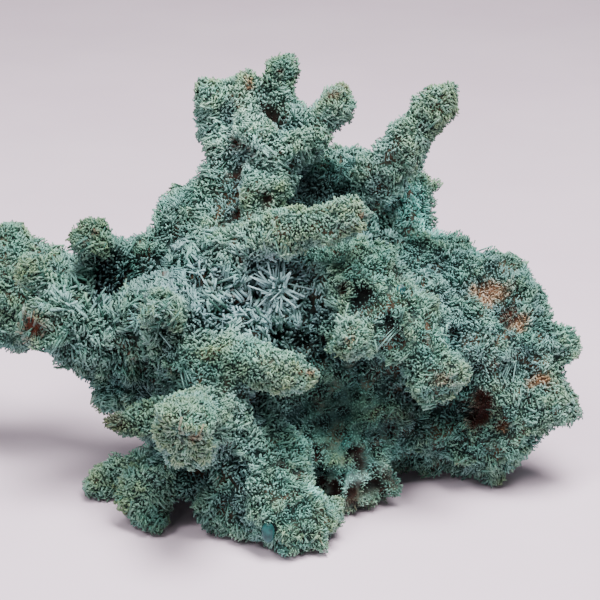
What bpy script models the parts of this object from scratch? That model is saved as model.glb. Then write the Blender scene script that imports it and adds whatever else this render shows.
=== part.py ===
"""A chrysocolla pseudomorph: a hand-sized cluster of stubby fingers, all coated in tufts of fine needles.

The specimen grew as one branching mass, so it is laid out as a skeleton of tapered limbs. The limbs are fused
into one skin, tufts are raised all over it, it is cut flat where it rests, and it is parted at its main forks.
The x axis runs to the viewer's right, y away from the viewer and z up. The limbs are written in millimetres.
"""

import random

import bmesh
import bpy
from mathutils import Matrix, Vector, noise
from mathutils.bvhtree import BVHTree

MM = 0.001

# Driving dimensions, in millimetres.
FUSE_STEP = 1.0  # spacing of the skin when the limbs are fused
TUFT_HEIGHT = (0.4, 1.7)  # lowest and highest tuft above the skin
TUFT_ROOM = 0.3  # tallest tuft, as a share of the free space before it
TUFT_LEAN = 0.35  # how far a tuft leans towards the tip of its limb, as a share of its height
SKIN_DEPTH = 0.2  # how far the skin between the tufts lies below the skeleton's own surface
SWELL_HEIGHT = 0.9  # height of the gentle swellings along the limbs
SWELL_LENGTH = 9.0  # distance between those swellings
LONGEST_EDGE = 4.2  # longer edges of the skin are split, so that tufts stand evenly
RIM_STEP = 1.4  # points of a fork's rim nearer than this to each other are merged
PIT_DEPTH = 1.8  # depth of the small oval pits of the underside
FLOOR = 0.8  # height of the level cut that makes the feet flat, on the skeleton's own scale
FOOT_RIM = 1.6  # no tufts stand on skin that is lower than this above the cut
FORK_GAP = 0.3  # clear gap at each fork, where two nodes meet
FORK_REACH = 22  # a fork reaches no further than this from its middle
TOUCH = 0.01  # points nearer to a plane than this lie on it
FORK_RIM = 1.2  # no tufts stand nearer than this to a fork
SLEEVE_MARGIN = 1.4  # how far a sleeve around a branch stands clear of the skeleton

SKIN_FACES = 5900  # triangles of the fused skin, before the long ones are split
FUSE_ROUNDS = 5  # rounds of smoothing that blend the limbs where they join
SEED = 7  # settles which points carry a tuft
CRUST_COLOUR = (0.22, 0.38, 0.34)  # grey blue-green

# The skeleton. Each limb is a row of balls (x, y, z, radius); a tapered piece spans each pair of neighbours.
CORE = [
    [(-11, 6, 34, 15), (5, 7, 29, 15)],
    [(-14, -1, 26, 12), (-2, 2, 23, 13)],
    [(-7, 13, 40, 11), (10, 15, 36, 11.5)],
    [(-6, 17, 25, 14), (12, 19, 24, 12)],
    [(-22, -6, 34.5, 5.5), (-22.5, -13, 38, 3.8)],
    [(-3, 14, 48, 6), (6, 19.5, 50, 5.6)],
    [(15.5, 20, 40, 7.5), (20.5, 21.5, 45, 4.8)],
    [(18, 15, 37.5, 6.6), (26, 15, 36.5, 6)],
]
CENTRE_RIGHT_LOBE = [
    [(9, -1, 37, 9.5), (16.5, -5, 33, 7.5), (21, -9, 27, 6)],
    [(23, -9.5, 25.5, 4.8), (26, -9.5, 26.5, 2.6)],
    [(21.5, -10.5, 24, 4.2), (22.5, -11, 22, 2.5)],
]
SPIKY_KNOB = [[(8.5, -2, 29.5, 5.4), (8, -13, 33, 4.0)]]
CROWN = [
    [(-10, 11.5, 43, 9), (-10.5, 12.5, 52, 6.5), (-11.5, 14, 57, 6)],
    [(-13, 14.5, 55, 4.6), (-13.5, 18.5, 64, 4.6)],
    [(-9, 10.5, 58, 4.6), (-9, 15.5, 65, 4.4)],
    [(-6.5, 4.5, 51, 4.8), (-6.5, 9.5, 61.5, 4.2)],
    [(-5.5, 12.5, 57.5, 4.3), (-3.5, 16, 64, 3.9), (-3, 18, 69.5, 3.6)],
    [(-4.5, 8.5, 55, 6), (1.5, 11, 61, 4.8), (6, 12.5, 66, 3.9)],
    [(-15.5, 11.5, 46.5, 6.6), (-20, 13.5, 46.5, 4.6), (-22.5, 11.5, 43.5, 3.6)],
]
LONG_BACK_FINGER = [
    [(7, 14.5, 45, 5.6), (14.5, 13.5, 55, 4.2), (23, 14, 65, 3.6)],
    [(5, 21, 45, 5.8), (10.5, 22.5, 50, 4.6)],
]
UPPER_FRONT_FINGER = [[(-14, 0.5, 41.5, 5.5), (-4, -4, 47.5, 4.4), (8.5, -8.5, 52, 3.9)]]
LOWER_FRONT_FINGER = [[(-20.5, -6.5, 28.5, 5.8), (-10.5, -14, 29.8, 4.7), (-1, -19, 29.5, 4.1)]]
FRONT_STUB = [[(-11.5, -10.5, 18, 7.2), (-17, -22, 21, 6.6), (-18, -31, 24, 5.6)]]
SMALL_LEFT_FINGER = [[(-19.5, -12.5, 18.5, 4.3), (-26, -14, 19.5, 3.6), (-29, -14.5, 19, 2.7)]]
LEFT_FOOT = [
    [(-14, -10.5, 12.5, 6.2), (-23, -14, 8.5, 5.4), (-26, -14.5, 6.5, 4.8)],
    [(-25, -15.5, 4.5, 4.2), (-24.5, -17, 3, 3.8)],
    [(-18.5, -2.5, 9.5, 5), (-29, -3.5, 4.6, 4.2), (-34, -3.5, 2.5, 3.7)],
]
FRONT_FOOT = [
    [(-10, -9.5, 15.5, 9.6), (-5, -19, 9, 8.6), (-1.5, -22.5, 5.5, 6.8)],
    [(-12.5, -16.5, 7.5, 6.6), (-9, -19.5, 5, 5.2)],
    [(-5, -23.5, 5.5, 5.2), (-2.5, -25, 3.6, 3.7)],
    [(0, -20, 5.5, 6), (3, -20, 5, 4.6)],
]
UNDERSIDE = [
    [(-2, 0, 22, 12), (11, 2, 17, 12)],
    [(5, -2, 12.5, 10), (10, -5, 7, 7), (12.5, -6.5, 4, 5.2)],
    [(5, -5, 7, 7), (7.5, -6.5, 4, 5)],
]
RIGHT_LOBE = [
    [(20.5, 8, 27, 12), (30.5, 7, 25, 11), (34, 4, 17, 9.8)],
    [(29, 12, 32.5, 9), (34.5, 11.5, 31, 7.4)],
    [(37.5, 6.5, 29, 5.6), (40, 7, 31.5, 2.6)],
    [(38, 4.5, 24.5, 6.3), (44.5, 5, 25, 3.2)],
    [(39, 1.5, 16.5, 6.8), (44.5, 1, 15, 3.9)],
    [(34, 2, 12, 8.4), (38, 1, 12.5, 5.6)],
    [(29, 3, 8.5, 8.4), (32, 3, 4.5, 5.8)],
    [(17, 6, 11.5, 9.6), (24, 5, 8, 7.6)],
]
LEFT_ARM = [
    [(-18, -1, 32, 9.8), (-30, 0, 29.5, 6.8), (-38.5, 0, 29, 5.5)],
    [(-40, -3, 32.5, 5.2), (-42, -4.5, 31.5, 4.3)],
    [(-35.5, 4, 33.5, 4.8), (-41, 2.5, 36.5, 3.7), (-43.5, 2.5, 38.5, 3.2)],
    [(-34.5, 11, 32.5, 5.6), (-34, 8.5, 41, 3.8), (-34.5, 6.5, 44, 3.4)],
    [(-20, 9, 38, 5), (-25.5, 9, 40, 4.8), (-30, 9.5, 39, 4.4)],
    [(-28.5, -1, 26.5, 5.8), (-32.5, 3.5, 22, 5.2)],
    [(-25.5, 2.5, 19.5, 6.8), (-31.5, 3.5, 17, 4.4)],
]
FAR_LEFT_ARM = [
    [(-20, 12, 29, 7), (-35, 17.5, 31, 6.4), (-46, 21, 30.5, 7.6), (-51.5, 20.5, 30, 8)],
    [(-50.5, 22.5, 32.5, 5), (-51, 24.5, 38, 3.6)],
    [(-44, 18, 27, 6.6), (-51, 18, 25.5, 7)],
]
BACK = [
    [(-8, 24, 38, 7), (-14, 33, 46, 3.9)],
    [(14, 26, 28, 7.5), (20, 37, 31, 4.2)],
    [(-12, 24, 20, 8), (-20, 35, 17, 4.2)],
    [(2, 22, 14, 9.5), (4, 27, 5.5, 6.8)],
    [(2, 27, 30, 7), (3, 34, 30, 5)],
]
SKELETON = (
    CORE + CENTRE_RIGHT_LOBE + SPIKY_KNOB + CROWN + LONG_BACK_FINGER + UPPER_FRONT_FINGER + LOWER_FRONT_FINGER
    + FRONT_STUB + SMALL_LEFT_FINGER + LEFT_FOOT + FRONT_FOOT + UNDERSIDE + RIGHT_LOBE + LEFT_ARM + FAR_LEFT_ARM
    + BACK
)

# Small oval pits of the underside.
PITS = [(5.5, -12, 6), (9.5, -11, 5), (9.5, -9.5, 12), (11, -9, 10), (13.5, -9, 7), (16.5, -6, 9), (15, -7, 3.5)]

# The main forks: each branch's name, a point on its fork, the way it leaves, and the limbs that it holds.
# A branch is parted before the one that carries it.
FORKS = [
    ("far_left_arm", (-40, 19, 28), (-1, 0.35, 0.1), FAR_LEFT_ARM),
    ("left_arm", (-26, 2, 28), (-1, 0, 0), LEFT_ARM + FAR_LEFT_ARM[:1]),
    ("crown", (-8.5, 11, 57), (0, 0, 1), CROWN),
    ("long_back_finger", (14, 13.7, 54.8), (0.65, 0, 0.76), LONG_BACK_FINGER[:1]),
    ("upper_front_finger", (2, -6.2, 49.9), (0.9, -0.3, 0.32), UPPER_FRONT_FINGER),
    ("lower_front_finger", (-4.5, -17.2, 29.6), (0.88, -0.47, 0), LOWER_FRONT_FINGER),
    ("front_stub", (-15.5, -20, 20.5), (-0.42, -0.88, 0.23), FRONT_STUB),
    ("right_lobe", (31, 6, 20), (1, 0, 0), RIGHT_LOBE),
]
MAIN_MASS = "central_mass"


def ball_points(x, y, z, radius):
    """Points all round a ball, in metres."""
    ball = bmesh.new()
    place = Matrix.Translation(Vector((x, y, z)) * MM)
    bmesh.ops.create_icosphere(ball, subdivisions=2, radius=radius * MM, matrix=place)
    points = [vertex.co.copy() for vertex in ball.verts]
    ball.free()
    return points


def hull(points):
    """The convex hull of some points, as a bmesh."""
    shape = bmesh.new()
    for point in points:
        shape.verts.new(point)
    made = bmesh.ops.convex_hull(shape, input=shape.verts)
    spare = [item for item in made["geom_interior"] if isinstance(item, bmesh.types.BMVert)]
    bmesh.ops.delete(shape, geom=spare, context="VERTS")
    bmesh.ops.recalc_face_normals(shape, faces=shape.faces)
    return shape


def as_object(name, shape):
    """Puts a bmesh in the scene as a new object, and frees it."""
    mesh = bpy.data.meshes.new(name)
    shape.to_mesh(mesh)
    shape.free()
    obj = bpy.data.objects.new(name, mesh)
    bpy.context.scene.collection.objects.link(obj)
    return obj


def as_bmesh(obj):
    """A bmesh of the object as its modifiers leave it. The object is removed."""
    graph = bpy.context.evaluated_depsgraph_get()
    shape = bmesh.new()
    shape.from_object(obj, graph)
    bpy.data.objects.remove(obj)
    return shape


def cut_level(shape, point, outwards):
    """Cuts away what lies beyond a plane, and closes the cut."""
    everything = shape.verts[:] + shape.edges[:] + shape.faces[:]
    bmesh.ops.bisect_plane(shape, geom=everything, plane_co=point, plane_no=outwards, clear_outer=True)
    bmesh.ops.holes_fill(shape, edges=[edge for edge in shape.edges if edge.is_boundary], sides=0)


def limb_pieces(limbs):
    """Every (start ball, end ball) of some limbs, from root to tip."""
    return [piece for limb in limbs for piece in zip(limb, limb[1:])]


def fused_skin():
    """Every limb of the skeleton, fused into one closed skin of evenly small triangles."""
    limbs = bmesh.new()
    for start, end in limb_pieces(SKELETON):
        piece = hull(ball_points(*start) + ball_points(*end))
        mesh = bpy.data.meshes.new("piece")
        piece.to_mesh(mesh)
        piece.free()
        limbs.from_mesh(mesh)
        bpy.data.meshes.remove(mesh)
    guide = as_object("limb_guide", limbs)
    fuse = guide.modifiers.new("fuse", "REMESH")
    fuse.mode = "VOXEL"
    fuse.voxel_size = FUSE_STEP * MM
    blend = guide.modifiers.new("blend", "SMOOTH")
    blend.factor = 0.5
    blend.iterations = FUSE_ROUNDS
    skin = as_bmesh(guide)
    raise_swellings(skin)
    return thinned(skin)


def raise_swellings(skin):
    """Moves the skin in and out by a slow noise, as the limbs are nowhere quite round."""
    skin.normal_update()
    for vertex in skin.verts:
        height = noise.noise(vertex.co / (SWELL_LENGTH * MM)) * SWELL_HEIGHT - SKIN_DEPTH
        vertex.co += vertex.normal * height * MM


def thinned(skin):
    """The same skin in fewer, evenly sized triangles. The fine one is freed."""
    bmesh.ops.triangulate(skin, faces=skin.faces)
    share = SKIN_FACES / len(skin.faces)
    guide = as_object("skin_guide", skin)
    thin = guide.modifiers.new("thin", "DECIMATE")
    thin.ratio = share
    skin = as_bmesh(guide)
    long_edges = [edge for edge in skin.edges if edge.calc_length() > LONGEST_EDGE * MM]
    bmesh.ops.subdivide_edges(skin, edges=long_edges, cuts=1)
    bmesh.ops.triangulate(skin, faces=skin.faces)
    return skin


def growth_direction(point):
    """Which way the nearest limb grows at a point, as a unit vector."""
    nearest, direction = None, Vector((0, 0, 1))
    for start, end in limb_pieces(SKELETON):
        base, tip = Vector(start[:3]) * MM, Vector(end[:3]) * MM
        along = tip - base
        share = min(1, max(0, (point - base).dot(along) / along.length_squared))
        radius = (start[3] + (end[3] - start[3]) * share) * MM
        away = (point - base - along * share).length - radius
        if nearest is None or away < nearest:
            nearest, direction = away, along.normalized()
    return direction


def sleeve(fork, direction, limbs):
    """A closed convex sleeve that holds a branch from its fork outwards, as a cutter that isn't rendered."""
    balls = {tuple(ball) for limb in limbs for ball in limb}
    points = [point for x, y, z, r in sorted(balls) for point in ball_points(x, y, z, r + SLEEVE_MARGIN)]
    shape = hull(points)
    cut_level(shape, fork, -direction)
    bmesh.ops.recalc_face_normals(shape, faces=shape.faces)
    cutter = as_object("sleeve", shape)
    cutter.hide_render = True
    cutter.display_type = "WIRE"
    return cutter


def keep_largest_part(shape):
    """Keeps the largest connected part of a bmesh, which drops the slivers that a sleeve clips off."""
    unseen, parts = set(shape.verts), []
    while unseen:
        reached = [unseen.pop()]
        part = set(reached)
        while reached:
            linked = {edge.other_vert(vertex) for vertex in [reached.pop()] for edge in vertex.link_edges}
            fresh = linked & unseen
            unseen -= fresh
            part |= fresh
            reached.extend(fresh)
        parts.append(part)
    parts.sort(key=len)
    spare = [vertex for part in parts[:-1] for vertex in part]
    bmesh.ops.delete(shape, geom=spare, context="VERTS")


def on_fork(vertex, fork, direction):
    """Whether a point of the skin lies on either face of a fork."""
    return abs(abs((vertex.co - fork).dot(direction)) - FORK_GAP / 2 * MM) < TOUCH * MM


def can_merge(edge):
    """Whether an edge can shrink to a point and leave the skin closed and simple."""
    first, second = edge.verts
    shared = {side.other_vert(first) for side in first.link_edges} & {side.other_vert(second) for side in second.link_edges}
    return len(shared) == sum(len(face.verts) == 3 for face in edge.link_faces)


def merge_short_edges(shape, fork, direction):
    """Shrinks the short edges at a fork's rim to points, which all stay on the fork's face."""
    cut_faces = [face for face in shape.faces if all(on_fork(vertex, fork, direction) for vertex in face.verts)]
    cap = set(bmesh.ops.dissolve_faces(shape, faces=cut_faces)["region"])
    bmesh.ops.triangulate(shape, faces=[face for face in shape.faces if face not in cap])
    merging = True
    while merging:
        merging = False
        rim = {vertex for vertex in shape.verts if on_fork(vertex, fork, direction)}
        for edge in sorted({edge for vertex in rim for edge in vertex.link_edges}, key=bmesh.types.BMEdge.calc_length):
            if edge.calc_length() > RIM_STEP * MM:
                break
            if can_merge(edge):
                ends = [vertex.co for vertex in edge.verts if vertex in rim]
                middle = sum(ends, Vector()) / len(ends)
                bmesh.ops.pointmerge(shape, verts=list(edge.verts), merge_co=middle)
                merging = True
                break


def cut_at_fork(body, operation, fork, direction, sideways, limbs):
    """The bmesh of a body after one Boolean with a branch's sleeve, its new rim made of fewer points."""
    cutter = sleeve(fork + direction * sideways, direction, limbs)
    work = as_object("work", body.copy())
    cut = work.modifiers.new("cut", "BOOLEAN")
    cut.operation = operation
    cut.solver = "EXACT"
    cut.object = cutter
    shape = as_bmesh(work)
    bpy.data.objects.remove(cutter)
    keep_largest_part(shape)
    merge_short_edges(shape, fork, direction)
    return shape


def parted(body, fork, direction, limbs):
    """Parts a branch from the body at its fork. Returns the branch and what is left of the body."""
    half_gap = FORK_GAP / 2 * MM
    branch = cut_at_fork(body, "INTERSECT", fork, direction, half_gap, limbs)
    rest = cut_at_fork(body, "DIFFERENCE", fork, direction, -half_gap, limbs)
    body.free()
    return branch, rest


def clear_of_forks(vertex):
    """Whether a tuft can stand on a point of the skin without reaching across a fork."""
    for _, fork, way, _ in FORKS:
        away = abs((vertex.co - Vector(fork) * MM).dot(Vector(way).normalized()))
        if away < FORK_RIM * MM and (vertex.co - Vector(fork) * MM).length < FORK_REACH * MM:
            return False
    return True


def raise_tufts(shape, surface, draw):
    """Raises tufts of needles from a node, no two on neighbouring points, leaning the way their limbs grow."""
    shape.normal_update()
    points = list(shape.verts)
    draw.shuffle(points)
    taken = set()
    for vertex in points:
        neighbours = {edge.other_vert(vertex) for edge in vertex.link_edges}
        if vertex.co.z > (FLOOR + FOOT_RIM) * MM and clear_of_forks(vertex) and not neighbours & taken:
            taken.add(vertex)
    for vertex in points:
        if vertex in taken:
            lean = (vertex.normal + growth_direction(vertex.co) * TUFT_LEAN).normalized()
            height = draw.uniform(*TUFT_HEIGHT) * MM
            room = surface.ray_cast(vertex.co + lean * FUSE_STEP * MM, lean)[3]
            vertex.co += lean * (min(height, room * TUFT_ROOM) if room else height)


def sink_pits(shape):
    """Presses the small pits into the underside."""
    shape.normal_update()
    for place in PITS:
        spot = Vector(place) * MM
        vertex = min(shape.verts, key=lambda candidate: (candidate.co - spot).length_squared)
        vertex.co -= vertex.normal * PIT_DEPTH * MM


def clear_scene():
    """Removes whatever the scene starts with."""
    for obj in list(bpy.data.objects):
        bpy.data.objects.remove(obj)


def crust_material(name, colour):
    """A dull, dry mineral finish."""
    material = bpy.data.materials.new(name)
    material.use_nodes = True
    shader = material.node_tree.nodes["Principled BSDF"]
    shader.inputs["Base Color"].default_value = (*colour, 1)
    shader.inputs["Roughness"].default_value = 0.8
    shader.inputs["Metallic"].default_value = 0
    return material


def main():
    """Builds the specimen: one skin cut flat at its feet and parted at its main forks, then its tufts."""
    clear_scene()
    rest = fused_skin()
    cut_level(rest, (0, 0, FLOOR * MM), (0, 0, -1))
    surface = BVHTree.FromBMesh(rest)
    nodes = {}
    for name, fork, way, limbs in FORKS:
        nodes[name], rest = parted(rest, Vector(fork) * MM, Vector(way).normalized(), limbs)
    nodes[MAIN_MASS] = rest
    draw = random.Random(SEED)
    for shape in nodes.values():
        raise_tufts(shape, surface, draw)
    sink_pits(rest)

    corners = [vertex.co for shape in nodes.values() for vertex in shape.verts]
    low, high = ([end(corner[axis] for corner in corners) for axis in range(3)] for end in (min, max))
    origin = Vector(((low[0] + high[0]) / 2, (low[1] + high[1]) / 2, low[2]))
    for name, shape in nodes.items():
        bmesh.ops.translate(shape, verts=shape.verts, vec=-origin)
        bmesh.ops.triangulate(shape, faces=shape.faces)
        node = as_object(name, shape)
        node.data.materials.append(crust_material(name, CRUST_COLOUR))


main()
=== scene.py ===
"""A chrysocolla pseudomorph: a coral-like mass of fine mineral needles standing on a pale floor."""

import logging
import math
from dataclasses import dataclass, field
from enum import Enum
from typing import Sequence

import bmesh
import bpy
import numpy as np
from bpy.types import Material, Mesh, Node, NodeSocket, NodeTree, Object
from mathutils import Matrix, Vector, noise
from mathutils.bvhtree import BVHTree
from mathutils.kdtree import KDTree


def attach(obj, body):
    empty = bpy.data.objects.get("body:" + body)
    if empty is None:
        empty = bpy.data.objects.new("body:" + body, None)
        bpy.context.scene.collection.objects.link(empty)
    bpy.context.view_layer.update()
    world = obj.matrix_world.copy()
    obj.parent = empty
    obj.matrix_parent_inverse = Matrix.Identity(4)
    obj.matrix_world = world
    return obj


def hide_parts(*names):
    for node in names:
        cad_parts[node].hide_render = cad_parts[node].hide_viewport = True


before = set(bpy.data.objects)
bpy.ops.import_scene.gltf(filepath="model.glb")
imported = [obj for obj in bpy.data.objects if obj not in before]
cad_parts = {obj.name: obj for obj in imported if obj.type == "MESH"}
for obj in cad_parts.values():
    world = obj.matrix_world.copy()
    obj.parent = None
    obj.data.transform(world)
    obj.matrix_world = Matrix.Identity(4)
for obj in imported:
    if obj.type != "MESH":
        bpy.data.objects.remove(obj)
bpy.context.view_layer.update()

LOG = logging.getLogger("chrysocolla")
MM = 0.001
SEED = 20240
BODY = "root"
MAIN_NODE = "central_mass"
Point = tuple[float, float, float]
Colour = tuple[int, int, int]
Array = np.ndarray
Fields = dict[str, Array]


# --- growth


class Growth(Enum):
    """The kinds of needle growth on the specimen."""

    BUSHY = "bushy"
    GRANULAR = "granular"
    LOOSE = "loose"
    TWIGGY = "twiggy"
    MOSSY = "mossy"
    POROUS = "porous"
    HAZY = "hazy"


@dataclass(frozen=True)
class Coat:
    """How the needles of one kind of growth stand, in millimetres.

    The clump is how far they stand back between tufts, the relief is the height of the skin's
    lumps, rods is the share of long rods that lie on top, and stout the share of needles that
    are as thick at the root as at the tip.
    """

    spacing: float
    length: float
    width: float
    focus: float
    lean: float
    bundle: float
    scatter: float
    recess: float
    crust: float
    clump: float
    relief: float
    rods: float
    stout: float
    olive: float
    slate: float
    teal: float


COATS: dict[Growth, Coat] = {
    Growth.BUSHY: Coat(
        0.43, 2.2, 0.31, 2.0, 0.6, 0.5, 0.62, 0.7, 1.3, 0.9, 1.0, 0.25, 0.3, 0.3, 0.4, 0.35
    ),
    Growth.GRANULAR: Coat(
        0.41, 1.4, 0.34, 3.5, 0.3, 0.3, 1.0, 0.4, 0.8, 0.3, 0.4, 0.0, 0.25, 0.65, 0.2, 0.05
    ),
    Growth.LOOSE: Coat(
        0.60, 3.6, 0.44, 1.6, 0.6, 1.0, 0.34, 1.1, 1.8, 1.0, 0.9, 1.0, 0.8, 0.05, 0.95, 0.05
    ),
    Growth.TWIGGY: Coat(
        0.49, 3.0, 0.36, 1.5, 0.5, 0.9, 0.33, 1.0, 1.7, 1.5, 1.1, 0.8, 0.5, 0.33, 0.5, 0.1
    ),
    Growth.MOSSY: Coat(
        0.38, 1.5, 0.24, 1.6, 0.5, 0.4, 0.60, 0.7, 1.2, 1.2, 1.2, 0.15, 0.0, 0.45, 0.1, 0.65
    ),
    Growth.POROUS: Coat(
        0.42, 0.85, 0.24, 3.0, 0.4, 0.4, 0.80, 0.35, 0.55, 0.5, 1.3, 0.0, 0.0, 0.45, 0.1, 0.65
    ),
    Growth.HAZY: Coat(
        0.42, 1.7, 0.30, 2.0, 0.6, 0.5, 0.75, 0.6, 1.1, 1.1, 1.3, 0.15, 0.1, 0.12, 0.5, 0.25
    ),
}
COAT_FIELDS = tuple(Coat.__dataclass_fields__)
BACKGROUND_WEIGHT = 0.22
HIGHEST_LOT = 0.9


@dataclass(frozen=True)
class Stretch:
    """A stretch of the skin along a line between two points, in millimetres."""

    start: Point
    end: Point
    reach: float
    amount: float

    def near(self, points: Array, narrowing: float = 0.7) -> Array:
        """How near points are to the line.

        Args:
            points: Points in millimetres, one a row.
            narrowing: A larger number brings the edge nearer.

        Returns:
            For each point, from 1 on the line to 0 past its reach.
        """
        a, b = np.array(self.start), np.array(self.end)
        along = b - a
        share = np.clip(((points - a) @ along) / max(float(along @ along), 1e-9), 0.0, 1.0)
        distance = np.linalg.norm(points - a - share[:, None] * along, axis=1)
        return fade(distance * narrowing, self.reach)


def stretches(*rows: Sequence[float]) -> tuple[Stretch, ...]:
    """Rows of two points, a reach and an amount as stretches."""
    return tuple(Stretch(row[:3], row[3:6], *row[6:]) for row in rows)


# where each kind of growth stands, and how strongly
REGIONS: tuple[tuple[Growth, tuple[Stretch, ...]], ...] = (
    # the big loose rods on the front of the middle
    (Growth.LOOSE, stretches(
        (-13, -7, 40, 3.5, -9.2, 38, 8, 1.6),
        (-9, -10, 34.5, 2, -9.5, 34, 6, 1.2),
    )),
    # grains on the fingers and tips
    (Growth.GRANULAR, stretches(
        (-5.5, -4, 47.5, 14.5, -10.5, 52.5, 7, 1.5),
        (-10, -16.5, 30.5, 7, -22, 30, 7, 1.4),
        (-11, -31, 25.5, -13, -36, 24, 8.5, 1.3),
        (14, -14.5, 33.5, 14, -16.5, 34.5, 4.5, 1.4),
        (28, -12, 26.5, 33, -12, 26, 6, 1),
        (3, 18, 68, 3, 18, 71, 6, 1.2),
        (11, 12, 66.5, 12.5, 11, 68, 5.5, 1.2),
        (-8, 14, 64.5, -3, 12, 66, 5.5, 1),
        (26, 12, 61, 30, 11.5, 66, 6.5, 1),
        (-23, -17, 18.5, -20, -15, 19, 5, 1.2),
        (-19.5, -17.5, 5.5, -28, -6, 3, 6, 1),
        (-28.6, 4.3, 45, -28.6, 4, 47, 4, 4),
        (-45, 18.5, 30, -45, 21, 38, 9, 1),
        (49.5, 3, 24.5, 49, -1.5, 14.5, 6.5, 0.9),
    )),
    # twigs of the left limb
    (Growth.TWIGGY, stretches(
        (-38, -3, 35, -19, -8, 35, 10, 1.2),
        (-28.6, 6, 36, -28.6, 4, 42, 6.5, 1.2),
        (-16, -14, 36, -16, -17, 38, 6, 1.2),
    )),
    # fine moss on the right and low in front
    (Growth.MOSSY, stretches(
        (14, -7.5, 42, 27, -11, 35, 8.5, 1.6),
        (21, -11, 30, 28, -14, 27, 6, 1.2),
        (7, -24.5, 15, 8.5, -30, 5, 7, 1.5),
        (34, -6, 13, 43, -5, 9, 8, 1),
        (36, 2, 33, 44, -4, 20, 8, 0.5),
    )),
    # grains on the lower right knob
    (Growth.GRANULAR, stretches((39, -5, 22, 47, -3, 20, 6, 0.5))),
    # haze on the right and behind
    (Growth.HAZY, stretches(
        (33, 4, 38, 43, -2, 28, 9, 1.3),
        (42, -2, 24, 48, -2, 18, 7, 1),
        (15, 8, 53, 24, 9, 58, 6, 0.8),
        (28, 0, 38, 32, -6, 30, 7, 0.9),
    )),
    # moss behind the long finger
    (Growth.MOSSY, stretches((28, 16, 47, 29, 14, 43, 7, 1.5))),
    # grains on the far left tip
    (Growth.GRANULAR, stretches((-39.5, -0.5, 39.5, -40.5, -0.5, 40.5, 4, 1.5))),
    # pores of the middle foot
    (Growth.POROUS, stretches((10.5, -13, 7, 12.5, -13.5, 2, 5, 1.5))),
    # moss and grains of the front foot
    (Growth.MOSSY, stretches((5, -29, 9, 9, -28.5, 5, 5, 1.6))),
    (Growth.GRANULAR, stretches((11, -24, 7, 9, -28, 3, 4.5, 1.6))),
    # the worn underside
    (Growth.POROUS, stretches(
        (12.5, -11.5, 18, 18, -11.5, 5, 8, 1.7),
        (12, -15, 12, 13, -15, 5, 5.5, 1.2),
        (0, 0, 5, 24, 4, 6, 9, 1.2),
    )),
)

# painted shade: stretches that lie in shade, and how much darker the mineral is painted there
PAINTED_SHADES: tuple[Stretch, ...] = stretches(
    # painted shade on limbs and tips
    (-25, -18.5, 18.5, -19, -16, 19.5, 6, 0.5),
    (-24, -16, 5, -16, -21, 5, 7, 0.32),
    (34, 6, 40, 44, 2, 33, 9, 0.35),
    (-45, 10, 34, -18, -8, 36, 16, 0.33),
    (-28.6, 4.3, 44, -28.6, 4, 47, 6, 0.4),
    (17, -5, 44.5, 24, 7, 42, 6, 0.25),
    (2.5, 14.6, 69, 2.5, 14.6, 72, 6, 0.25),
    (-14, -36, 27, -8, -30, 26, 10, 0.16),
    # painted shade in the hollows underneath
    (4, -12, 22, 14, -12.5, 17, 7.5, 0.6),
    (15, -12, 18.5, 26, -9, 15, 7.5, 0.5),
    (0, -16, 20, 2, -20, 16, 5, 0.5),
    (26, -8, 16, 35, -6.5, 15, 6, 0.75),
    (28, -6, 6, 40, -6, 3, 5, 0.2),
    # painted shade beside and behind the front foot
    (-20, -12, 14, -8, -18, 14, 7, 0.65),
    (-16, -20, 4, -6, -25, 8, 6, 0.45),
    (-18, -8, 22, -26, -3, 21, 6, 0.55),
    (-10, -20, 3, -22, -10, 3, 6, 0.45),
    # painted shade in the nooks between the fingers
    (6, -10, 30, 9, -10.5, 29, 5, 0.7),
    (7, 8, 51, 12.5, 10, 51, 4.5, 0.8),
    (12, 13, 54, 16, 14, 55, 3, 0.6),
    (35, 12, 40, 29, 9, 39, 5, 0.3),
    (-26, 3, 37, -22, 4, 38, 5, 0.4),
    (-40, 5, 30, -30, 10, 26, 7, 0.35),
)

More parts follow.
